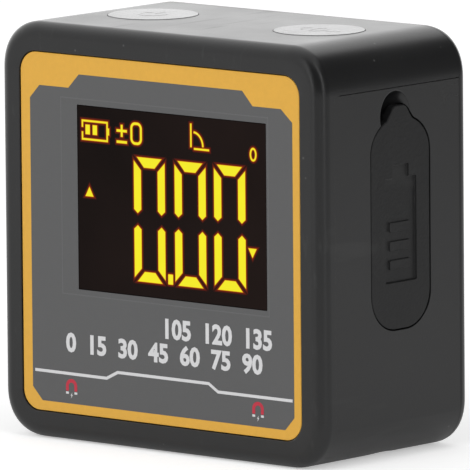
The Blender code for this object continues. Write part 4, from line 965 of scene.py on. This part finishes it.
class GAUGE_OT_label(bpy.types.Operator):
    """Build the label: orange film, grey field, white line and figures, and the magnet marks"""

    bl_idname = "gauge.label"
    bl_label = "Front Label"

    def execute(self, context):
        front, back = LABEL_LOW[1], LABEL_HIGH[1]
        window = rect_outline(grown(SCREEN, 0.1 * MM, SCREEN_RADIUS, 0))
        rows = [(0, back), (0, front), (0.99, front), (1, front + 0.05 * MM), (1, back)]
        film = skin_object("label_film", [band_between(window, rect_outline(label_row(0.0, 0), 24), rows)],
                           "label_orange", "display_face")
        x, _, z = face_centres(film).T
        near = 0.15 * MM
        inside = (x > SCREEN[0] - near) & (x < SCREEN[2] + near) & (z > SCREEN[1] - near) & (z < SCREEN[3] + near)
        film.data.polygons.foreach_set("material_index", inside.astype(np.int32))
        finish_piece(film, "case", "label_film", "front_label", angle=25)
        rows = [(0, front), (0, front - INK), (1, front - INK), (1, front)]
        printed("label_field", [band_between(window, field_outline(), rows)], "label_grey", angle=25)
        # Painted reflection: the path below is a lighter grey stroke round the display window. It stands in for the
        # reflection of the window's edges and is no seam in the print.
        seam = np.array([(-18.45, 21.35), (20.3, 21.35), (20.3, 49.6), (-18.45, 49.6)]) * MM
        printed("label_seam", [stroke_skin(seam, 0.16 * MM, front - 1.4 * INK, closed=True)], "label_seam")
        above = front - 2 * INK
        line_path = np.array([(-23.84, 9.84), (-10.25, 9.80), (-8.15, 10.83), (8.95, 10.82), (10.68, 9.78),
                              (24.50, 9.78)]) * MM
        printed("label_print", [stroke_skin(line_path, 0.43 * MM, above),
                                text_skin("105  120  135", (0.9, 16.45), (20.8, 19.45), above),
                                text_skin("0  15  30  45  60  75  90", (-17.9, 12.85), (19.0, 15.85), above)],
                "print_white")
        self.magnet_marks(above)
        return {"FINISHED"}

    def magnet_marks(self, above):
        """Two horseshoe marks: a half circle with legs, white tips below and a small spark between them."""
        half, top, foot, spark, width = 0.80, 8.05, 7.32, 6.70, 0.52 * MM
        bolt = np.array([(0.12, 0.42), (-0.20, -0.04), (-0.02, -0.04), (-0.12, -0.44), (0.20, 0.06), (0.02, 0.06)])
        red, white = [], []
        for x in (-16.94, 18.10):
            path = np.array([(x + half, foot), *arc_path((x, top), half, half * 0.95, 0, 180, 20), (x - half, foot)])
            red.append(stroke_skin(path * MM, width, above))
            for leg in (x - half, x + half):
                white.append(stroke_skin(np.array([(leg, 7.20), (leg, 6.88)]) * MM, width, above))
            white.append(plate_skin((bolt + (x, spark)) * MM, above))
        printed("magnet_marks", red, "print_red")
        printed("magnet_mark_tips", white, "print_white")


# Display

HALO = np.array([(0.0, 1.0, 1.0), (0.04, 0.82, 0.9), (0.09, 0.56, 0.7), (0.15, 0.38, 0.5), (0.28, 0.33, 0.3),
                 (0.42, 0.0, 0.0)])
GROW, GLOW, RISE = HALO[:, 0] * MM, HALO[:, 1], HALO[:, 2]
LIT_RISE = 0.035 * MM
LIT_FOOT = 0.05 * MM


def lit_plate(outline, face):
    """A lit bar: the flat shape, then rings grown outwards that sink to the face while the glow fades."""
    depths = [*(face - LIT_RISE * RISE), face + LIT_FOOT]
    rows = [(offset_outline(outline, grow), y) for grow, y in zip([*GROW, GROW[-1]], depths)]
    return tube(layers("Y", rows)), np.repeat([*GLOW, 0.0], len(outline))


def lit_stroke(path, width, face, closed=False):
    """A lit line: its cross-section is flat in the middle, sinks to the face at both sides and is carried along."""
    offsets = width / 2 + GROW
    across = [np.concatenate([side[::-1], side]) for side in (GLOW, RISE)]
    lengthwise = [np.ones(len(path))] * 2
    if not closed:
        start, end = along(path[0] - path[1]), along(path[-1] - path[-2])
        path = np.concatenate([path[0] + start * GROW[:0:-1, None], path, path[-1] + end * GROW[1:, None]])
        lengthwise = [np.concatenate([side[:0:-1], middle, side[1:]])
                      for side, middle in zip((GLOW, RISE), lengthwise)]
    sides = stroke_sides(path, np.concatenate([-offsets[::-1], offsets]), closed)
    shown, height = [np.minimum(a[None, :], b[:, None]) for a, b in zip(across, lengthwise)]
    top = in_space("Y", sides[..., 0], sides[..., 1], face - LIT_RISE * height)
    under = in_space("Y", sides[:, [-1, 0], 0], sides[:, [-1, 0], 1], face + LIT_FOOT)
    values = np.concatenate([shown, np.zeros((len(path), 2))], axis=1).reshape(-1)
    return tube(np.concatenate([top, under], axis=1), closed), values


def digit_bars(x0, z0, width, height, bar):
    """The six lit bars of a nought: trapezoids above and below, four pointed uprights, thin gaps between them."""
    start, gap, tip, point, deep = 0.64 * MM, 0.60 * MM, 0.92 * MM, 0.52 * MM, bar + 0.1 * MM
    x1, z1, middle = x0 + width, z0 + height, z0 + height / 2
    flat = np.array([(x0 + start, z1), (x0 + start + bar, z1 - deep), (x1 - start - bar, z1 - deep),
                     (x1 - start, z1)])
    upright = np.array([(x0, z1 - gap), (x0, middle + tip + point), (x0 + bar * 0.5, middle + tip),
                        (x0 + bar, middle + tip + point), (x0 + bar, z1 - gap - bar)])
    across, down = np.array([x0 + x1, 0.0]), np.array([0.0, 2 * middle])
    turn_x, turn_z = np.array([-1.0, 1.0]), np.array([1.0, -1.0])
    return [flat, upright, (upright * turn_x + across)[::-1], (flat * turn_z + down)[::-1],
            (upright * turn_z + down)[::-1], upright * -1 + across + down]


class GAUGE_OT_display(bpy.types.Operator):
    """Build the display window and everything that is lit in it"""

    bl_idname = "gauge.display"
    bl_label = "Display"

    def execute(self, context):
        face = LABEL_LOW[1]
        soft = 0.03 * MM
        rows = [grown(SCREEN, -soft, 0.09 * MM, face), grown(SCREEN, -soft * 0.3, 0.11 * MM, face + soft * 0.3),
                grown(SCREEN, 0, SCREEN_RADIUS, face + soft), grown(SCREEN, 0, SCREEN_RADIUS, FLANGE_FRONT),
                grown(FLANGE, 0, SCREEN_RADIUS, FLANGE_FRONT), grown(FLANGE, 0, SCREEN_RADIUS, WINDOW_HIGH[1])]
        window = skin_object("display_face", [tube(rect_rings(rows, steps=6))], "display_face")
        finish_piece(window, "case", "window_plastic", "display_window")
        skins, glow = zip(*(self.digits(face) + self.marks(face)))
        item = skin_object("display_lit", skins, "display_lit", glow=glow)
        finish_piece(item, "case", "window_plastic")
        return {"FINISHED"}

    def digits(self, face):
        """Three noughts and the point before the last two."""
        s = sizes()
        outlines = [bar for x, z in ((-4.69, 24.36), (2.95, 24.38), (10.30, 24.47))
                    for bar in digit_bars(x * MM, z * MM, s.digit_width, s.digit_height, s.bar_width)]
        outlines.append(rect_outline((1.60, 24.40, 2.42, 25.76, 0.05, 0), 2) * MM)
        return [lit_plate(outline, face) for outline in outlines]

    def marks(self, face):
        """Degree ring, level arrows, cell gauge, plus-or-minus nought and the angle mark."""
        thin, bold, block = 0.19, 0.28, 0.74
        arrows = ([(-13.84, 35.77), (-12.46, 35.77), (-13.15, 37.02)], [(17.31, 29.55), (18.01, 30.76), (16.63, 30.76)])
        strokes = [
            (arc_path((17.57, 44.17), 0.50, 0.84, 0, 345, 23), thin, True),
            ([(-14.37, 45.66), (-14.37, 46.55), (-9.70, 46.55), (-9.70, 43.91), (-14.37, 43.91), (-14.37, 44.94)],
             thin),
            ([(-9.45, 44.80), (-9.45, 45.72)], 0.16),
            ([(-13.38, 44.67), (-13.38, 45.97)], block),
            ([(-12.02, 44.67), (-12.02, 45.97)], block),
            ([(-7.88, 45.62), (-6.02, 45.62)], bold),
            ([(-6.95, 44.80), (-6.95, 46.44)], bold),
            ([(-7.88, 44.02), (-6.02, 44.02)], bold),
            (rect_outline((-5.13, 44.00, -3.34, 46.85, 0.7, 0), 8), bold, True),
            ([(6.03, 44.36), (6.03, 47.64)], thin),
            ([(6.62, 44.12), (9.36, 44.12)], thin),
            (arc_path((6.40, 44.45), 1.85, 2.05, 84, 2, 13), thin),
        ]
        return [lit_plate(np.array(arrow) * MM, face) for arrow in arrows] + [
            lit_stroke(np.array(path) * MM, width * MM, face, *closed) for path, width, *closed in strokes]


# Buttons

class GAUGE_OT_buttons(bpy.types.Operator):
    """Build the two round push buttons with their faint raised marks"""

    bl_idname = "gauge.buttons"
    bl_label = "Push Buttons"

    def execute(self, context):
        top = TOP + 0.07 * MM
        radius, stem, bore, roof = 6.51 * MM, 1.6 * MM, 5.25 * MM, top - 1.4 * MM
        for name, body in BUTTON_BODIES.items():
            low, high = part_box(name)
            flange, ledge_top, ledge_low = (high[0] - low[0]) / 2, high[2] - 2.65 * MM, high[2] - 3.85 * MM
            profile = [(stem, low[2]), (stem, roof), (bore, roof), (bore, ledge_low), (flange, ledge_low),
                       (flange, ledge_top), (radius, ledge_top)]
            profile += [(radius - 0.1 * MM * u, top - 0.06 * MM * v) for u, v in quarter(1.0, 9)]
            rings = turned_rings("Z", button_place(name), profile, 112)
            item = skin_object(name.replace("button", "push_button"), [tube(rings)], "button_plastic")
            finish_piece(item, body, "button_plastic", name)
            self.mark(name, top, body)
        return {"FINISHED"}

    def mark(self, name, top, body):
        """A faint raised mark: an open ring with an upright on one button, a nought between strokes on the other."""
        if name == "button_left":
            paths = [(arc_path((0, 0), 2.0, 2.0, 130, 410, 40), False), ([(0, 0.6), (0, 2.6)], False)]
        else:
            paths = [(arc_path((0, 0), 1.1, 1.7, 0, 345, 23), True)]
            paths += [([(side * 2.2, -1.2), (side * 3.6, 0), (side * 2.2, 1.2)], False) for side in (-1, 1)]
        parts = []
        for path, closed in paths:
            path = np.array(path) * MM + button_place(name)
            sides = stroke_sides(path, np.array([-0.26, -0.16, 0.16, 0.26]) * MM, closed)
            rise = np.array([-0.04, 0.015, 0.015, -0.04]) * MM
            parts.append(tube(in_space("Z", sides[..., 0], sides[..., 1], top + rise), closed))
        item = skin_object(name.replace("button", "button_mark"), parts, "button_plastic")
        finish_piece(item, body, "button_plastic")


# Battery door and cells

class GAUGE_OT_door(bpy.types.Operator):
    """Build the battery door with its sunk emblem, and the two cells behind it"""

    bl_idname = "gauge.door"
    bl_label = "Battery Door"

    def execute(self, context):
        face, back, _, ledge_back = door_planes()
        grow = 0.05 * MM
        rows = [(-0.03 * MM, back), (grow, back + 0.08 * MM)]
        rows += [(grow - u, face - v) for u, v in quarter(0.16 * MM, 7)]
        door = skin_object("door_plate", [tube(door_rings(rows))], "door_plastic")
        tongue = DOOR_LOW[2] + 2.0 * MM
        hook, into, past = ledge_back - 0.6 * MM, back + 0.4 * MM, 1 * MM
        low, leg, thick = 44.4 * MM, back - 0.6 * MM, 0.8 * MM
        wide, narrow = [(DOOR_Y - half, DOOR_Y + half) for half in (1.6 * MM, 1.5 * MM)]
        carve(door, "UNION", [
            slab("tongue", (hook - past, wide[0], tongue), (into, wide[1], tongue + past)),
            slab("hook", (hook - past, wide[0], tongue - 2 * MM), (hook, wide[1], tongue + past), 0.2 * MM),
            slab("leg foot", (leg - thick, narrow[0], low), (into, narrow[1], low + thick)),
            slab("leg", (leg - thick, narrow[0], low), (leg, narrow[1], 47.3 * MM), 0.2 * MM)])
        self.emblem(door, face)
        finish_piece(door, "door", "door_plastic", "battery_door")
        for name in ("cell_lower", "cell_upper"):
            self.cell(name)
        return {"FINISHED"}

    def emblem(self, door, face):
        """The sunk cell emblem: a pocket and nub with rounded foot and mouth, and three bars left standing in it."""
        y0, y1 = DOOR_Y - 3.33 * MM, DOOR_Y + 3.5 * MM
        low, top, nub_top, nub_half = 25.25 * MM, 40.15 * MM, 42.0 * MM, 1.75 * MM
        deep, foot, mouth = 0.34 * MM, 0.24 * MM, 0.06 * MM
        floor, middle = face - deep, (y0 + y1) / 2
        walls = [(foot, floor), (foot * 0.3, floor + foot * 0.3), (0.0, floor + foot), (0.0, face - mouth),
                 (-mouth * 0.3, face - mouth * 0.3), (-mouth, face), (-mouth, face + 1 * MM)]
        fields = [(y0, low, y1, top), (middle - nub_half, top - 1.2 * MM, middle + nub_half, nub_top)]
        carve(door, "DIFFERENCE", [self.sunk(f"emblem {i}", field, walls) for i, field in enumerate(fields)])
        rise, edge = 0.25 * MM, 0.08 * MM
        humps = [(-0.06 * MM, floor - 0.2 * MM), (-0.06 * MM, floor), (0.0, floor + edge),
                 (0.0, floor + rise - edge), (edge * 0.3, floor + rise - edge * 0.3), (edge, floor + rise)]
        feet = [low + (1.85 + 2.68 * i) * MM for i in range(3)]
        carve(door, "UNION", [self.sunk(f"bar {z:.4f}", (y0 + 1.05 * MM, z, y1 - 1.3 * MM, z + 1.35 * MM), humps)
                              for z in feet])

    def sunk(self, name, field, rows):
        """A rectangle carried along X: row (inset, x) shrinks it at that place."""
        return tool(name, rect_rings([grown(field, -inset, 0.25 * MM - inset, x) for inset, x in rows], "X", 5))

    def cell(self, name):
        """A round cell turned about X: rolled ends, plus nub, and a jacket that stops short of both ends."""
        low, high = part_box(name)
        middle, radius = centre_of(name, 1, 2), (high[1] - low[1]) / 2
        way = 1 if name == "cell_upper" else -1
        start, end = (low[0], high[0])[::way]
        shoulder = end - way * 0.9 * MM
        roll = quarter(0.5 * MM, 7)
        profile = [(radius - 1.6 * MM, start + way * 0.15 * MM), (radius - 1.4 * MM, start)]
        profile += [(radius - 0.05 * MM - v, start + way * u) for u, v in roll]
        profile += [(radius, start + way * 0.75 * MM), (radius, shoulder - way * 0.75 * MM)]
        profile += [(radius - u, shoulder - way * v) for u, v in roll]
        profile += [(2.3 * MM, shoulder - way * 0.1 * MM), (1.8 * MM, shoulder), (1.8 * MM, end - way * 0.3 * MM),
                    (1.55 * MM, end - way * 0.05 * MM), (1.3 * MM, end)]
        item = skin_object(name.replace("cell", "battery_cell"), [tube(turned_rings("X", middle, profile, 80))],
                           "cell_jacket", "cell_steel")
        ends = face_centres(item)
        away = np.linalg.norm(ends[:, 1:] - np.array(middle), axis=1)
        bare = (away < radius - 0.7 * MM) | (ends[:, 0] * way < (start + way * 0.5 * MM) * way)
        item.data.polygons.foreach_set("material_index", bare.astype(np.int32))
        finish_piece(item, "case", "cell_jacket", name)


# Inner pieces that keep their solids

CARRIED = {
    "display_glass": ["display_glass"], "light_guide": ["display_backlight"], "contact_rubber": ["display_connector"],
    "circuit_board": ["main_board", "button_board"], "tray_plastic": ["battery_tray"], "screw_steel": BOARD_SCREWS,
    "white_plastic": ["display_frame", "plunger_left", "plunger_right"],
    "chip_plastic": ["processor", "tilt_sensor", "board_link", "switch_left", "switch_right"],
    "contact_metal": ["dome_left", "dome_right", "contact_plate", "contact_spring", "door_contact"],
}


class GAUGE_OT_inner(bpy.types.Operator):
    """Give the boards, switches, tray, contacts and display module their finishes"""

    bl_idname = "gauge.inner"
    bl_label = "Inner Pieces"

    def execute(self, context):
        for finish, nodes in CARRIED.items():
            for node in nodes:
                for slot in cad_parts[node].material_slots:
                    slot.material = material(finish)
        return {"FINISHED"}


# Stage

VIEW = {"azimuth": 40.672, "elevation": 7.948, "roll": -0.4807, "distance": 1644.7 * MM, "lens": 882.4,
        "aim": (0.0, 0.0, 30.0 * MM), "right": 0.179 * MM, "up": -0.508 * MM}
LAMPS = {"Front Lamp": ((0.15, -1.5, 0.75), 0.9, 9.0), "Left Lamp": ((-1.4, -0.8, 0.9), 0.8, 4.0),
         "Right Lamp": ((1.5, -0.35, 0.7), 0.8, 6.0)}


def camera_frame():
    """Right, up and back of the camera from azimuth, elevation and roll."""
    a, e, r = (math.radians(VIEW[key]) for key in ("azimuth", "elevation", "roll"))
    back = Vector((math.sin(a) * math.cos(e), -math.cos(a) * math.cos(e), math.sin(e)))
    right = Vector((math.cos(a), math.sin(a), 0.0))
    up = back.cross(right)
    return math.cos(r) * right + math.sin(r) * up, math.cos(r) * up - math.sin(r) * right, back


def soft_lamp(name, place, size, power):
    """A square soft lamp that looks at the gauge."""
    light = bpy.data.lights.new(name, "AREA")
    light.shape, light.size, light.energy = "SQUARE", size, power
    item = linked(name, light)
    item.location = place
    item.rotation_euler = (Vector((0, 0, 0.03)) - Vector(place)).to_track_quat("-Z", "Y").to_euler()
    item.visible_camera = item.visible_glossy = False


def ray_switch(near):
    """The kinds of ray, and 1 for camera and transmission rays, 0 for the rest."""
    rays = add_node(near, "LightPath").outputs
    return rays, calc("MAXIMUM", rays["Is Camera Ray"], rays["Is Transmission Ray"])


class GAUGE_OT_stage(bpy.types.Operator):
    """Set the floor, the soft lamps, the pale surroundings and the camera"""

    bl_idname = "gauge.stage"
    bl_label = "Stage"

    def execute(self, context):
        self.floor()
        self.surroundings()
        for name, values in LAMPS.items():
            soft_lamp(name, *values)
        self.camera()
        context.scene.view_settings.view_transform = "Standard"
        return {"FINISHED"}

    def floor(self):
        """A plain pale floor: a flat grid just under the base."""
        side = np.linspace(-0.5, 0.5, 9)
        points = in_space("Z", *np.meshgrid(side, side), -0.0001)
        mesh = bpy.data.meshes.new("floor")
        mesh.from_pydata(points.reshape(-1, 3).tolist(), [], grid_faces(9, 9, close_columns=False))
        mesh.materials.append(material("pale_floor"))
        linked("floor", mesh)

    def surroundings(self):
        """White to the camera; to gloss, bright at the left and dim at the right; an even pale light otherwise."""
        world = bpy.data.worlds.new("Soft Studio")
        bpy.context.scene.world = world
        world.use_nodes = True
        shade = world.node_tree.nodes["Background"]
        rays, seen = ray_switch(shade)
        x, y, z = split(add_node(shade, "TexCoord").outputs["Generated"])
        fade = partial(ranged, kind="SMOOTHSTEP")
        dim = mul(mul(fade(x, -0.22, 0.06), fade(z, 0.72, 0.90, 1.0, 0.4)), -0.93)
        bright = fade(y, -0.72, 0.14, 0.78, 1.28)
        low = mul(fade(z, 0.22, 0.42, 0.38, 0.0), fade(y, 0.1, 0.4))
        base = mul(mul(add(dim, 1.0), bright), add(low, 1.0))
        side_strip = mul(mul(fade(y, -0.32, -0.24, 0.0, 2.2), fade(y, -0.16, -0.08, 1.0, 0.0)), fade(x, 0.3, 0.6))
        front_strip = mul(mul(fade(x, -0.14, -0.08, 0.0, 2.2), fade(x, -0.02, 0.04, 1.0, 0.0)),
                          fade(y, -0.85, -0.55, 1.0, 0.0))
        glossy = add(base, add(side_strip, front_strip))
        even = 0.62
        plain = line(seen, 1.0 - even, even)
        mirror = add_node(shade, "Mix", {0: rays["Is Glossy Ray"], 2: plain, 3: glossy}, data_type="FLOAT")
        feed(shade, {"Color": (1.0, 1.0, 1.0, 1.0), "Strength": mirror.outputs[0]})

    def camera(self):
        """The camera fitted to the photo's edges."""
        right, up, back = camera_frame()
        data = bpy.data.cameras.new("Photo Camera")
        data.lens, data.sensor_width = VIEW["lens"], 36.0
        item = linked("Photo Camera", data)
        place = Vector(VIEW["aim"]) + VIEW["right"] * right + VIEW["up"] * up + VIEW["distance"] * back
        item.matrix_world = Matrix.Translation(place) @ Matrix((right, up, back)).transposed().to_4x4()
        bpy.context.scene.camera = item


class GAUGE_PT_panel(bpy.types.Panel):
    """Sizes, colours and the build steps"""

    bl_label = "Angle Gauge"
    bl_idname = "GAUGE_PT_panel"
    bl_space_type = "VIEW_3D"
    bl_region_type = "UI"
    bl_category = "Angle Gauge"

    def draw(self, context):
        for group in (context.scene.gauge_sizes, context.scene.gauge_colours):
            column = self.layout.column(align=True)
            for key in group.__annotations__:
                column.prop(group, key)
        for step in STEPS:
            self.layout.operator(step.bl_idname)


STEPS = (GAUGE_OT_case, GAUGE_OT_cover, GAUGE_OT_magnets, GAUGE_OT_label, GAUGE_OT_display, GAUGE_OT_buttons,
         GAUGE_OT_door, GAUGE_OT_inner, GAUGE_OT_stage)
CLASSES = (GaugeSizes, GaugeColours, *STEPS, GAUGE_PT_panel)


def register():
    for item in CLASSES:
        bpy.utils.register_class(item)
    bpy.types.Scene.gauge_sizes = PointerProperty(type=GaugeSizes)
    bpy.types.Scene.gauge_colours = PointerProperty(type=GaugeColours)


def unregister():
    del bpy.types.Scene.gauge_colours
    del bpy.types.Scene.gauge_sizes
    for item in reversed(CLASSES):
        bpy.utils.unregister_class(item)


def main():
    register()
    bpy.ops.gauge.case()
    bpy.ops.gauge.cover()
    bpy.ops.gauge.magnets()
    bpy.ops.gauge.label()
    bpy.ops.gauge.display()
    bpy.ops.gauge.buttons()
    bpy.ops.gauge.door()
    bpy.ops.gauge.inner()
    bpy.ops.gauge.stage()


if __name__ == "__main__":
    main()
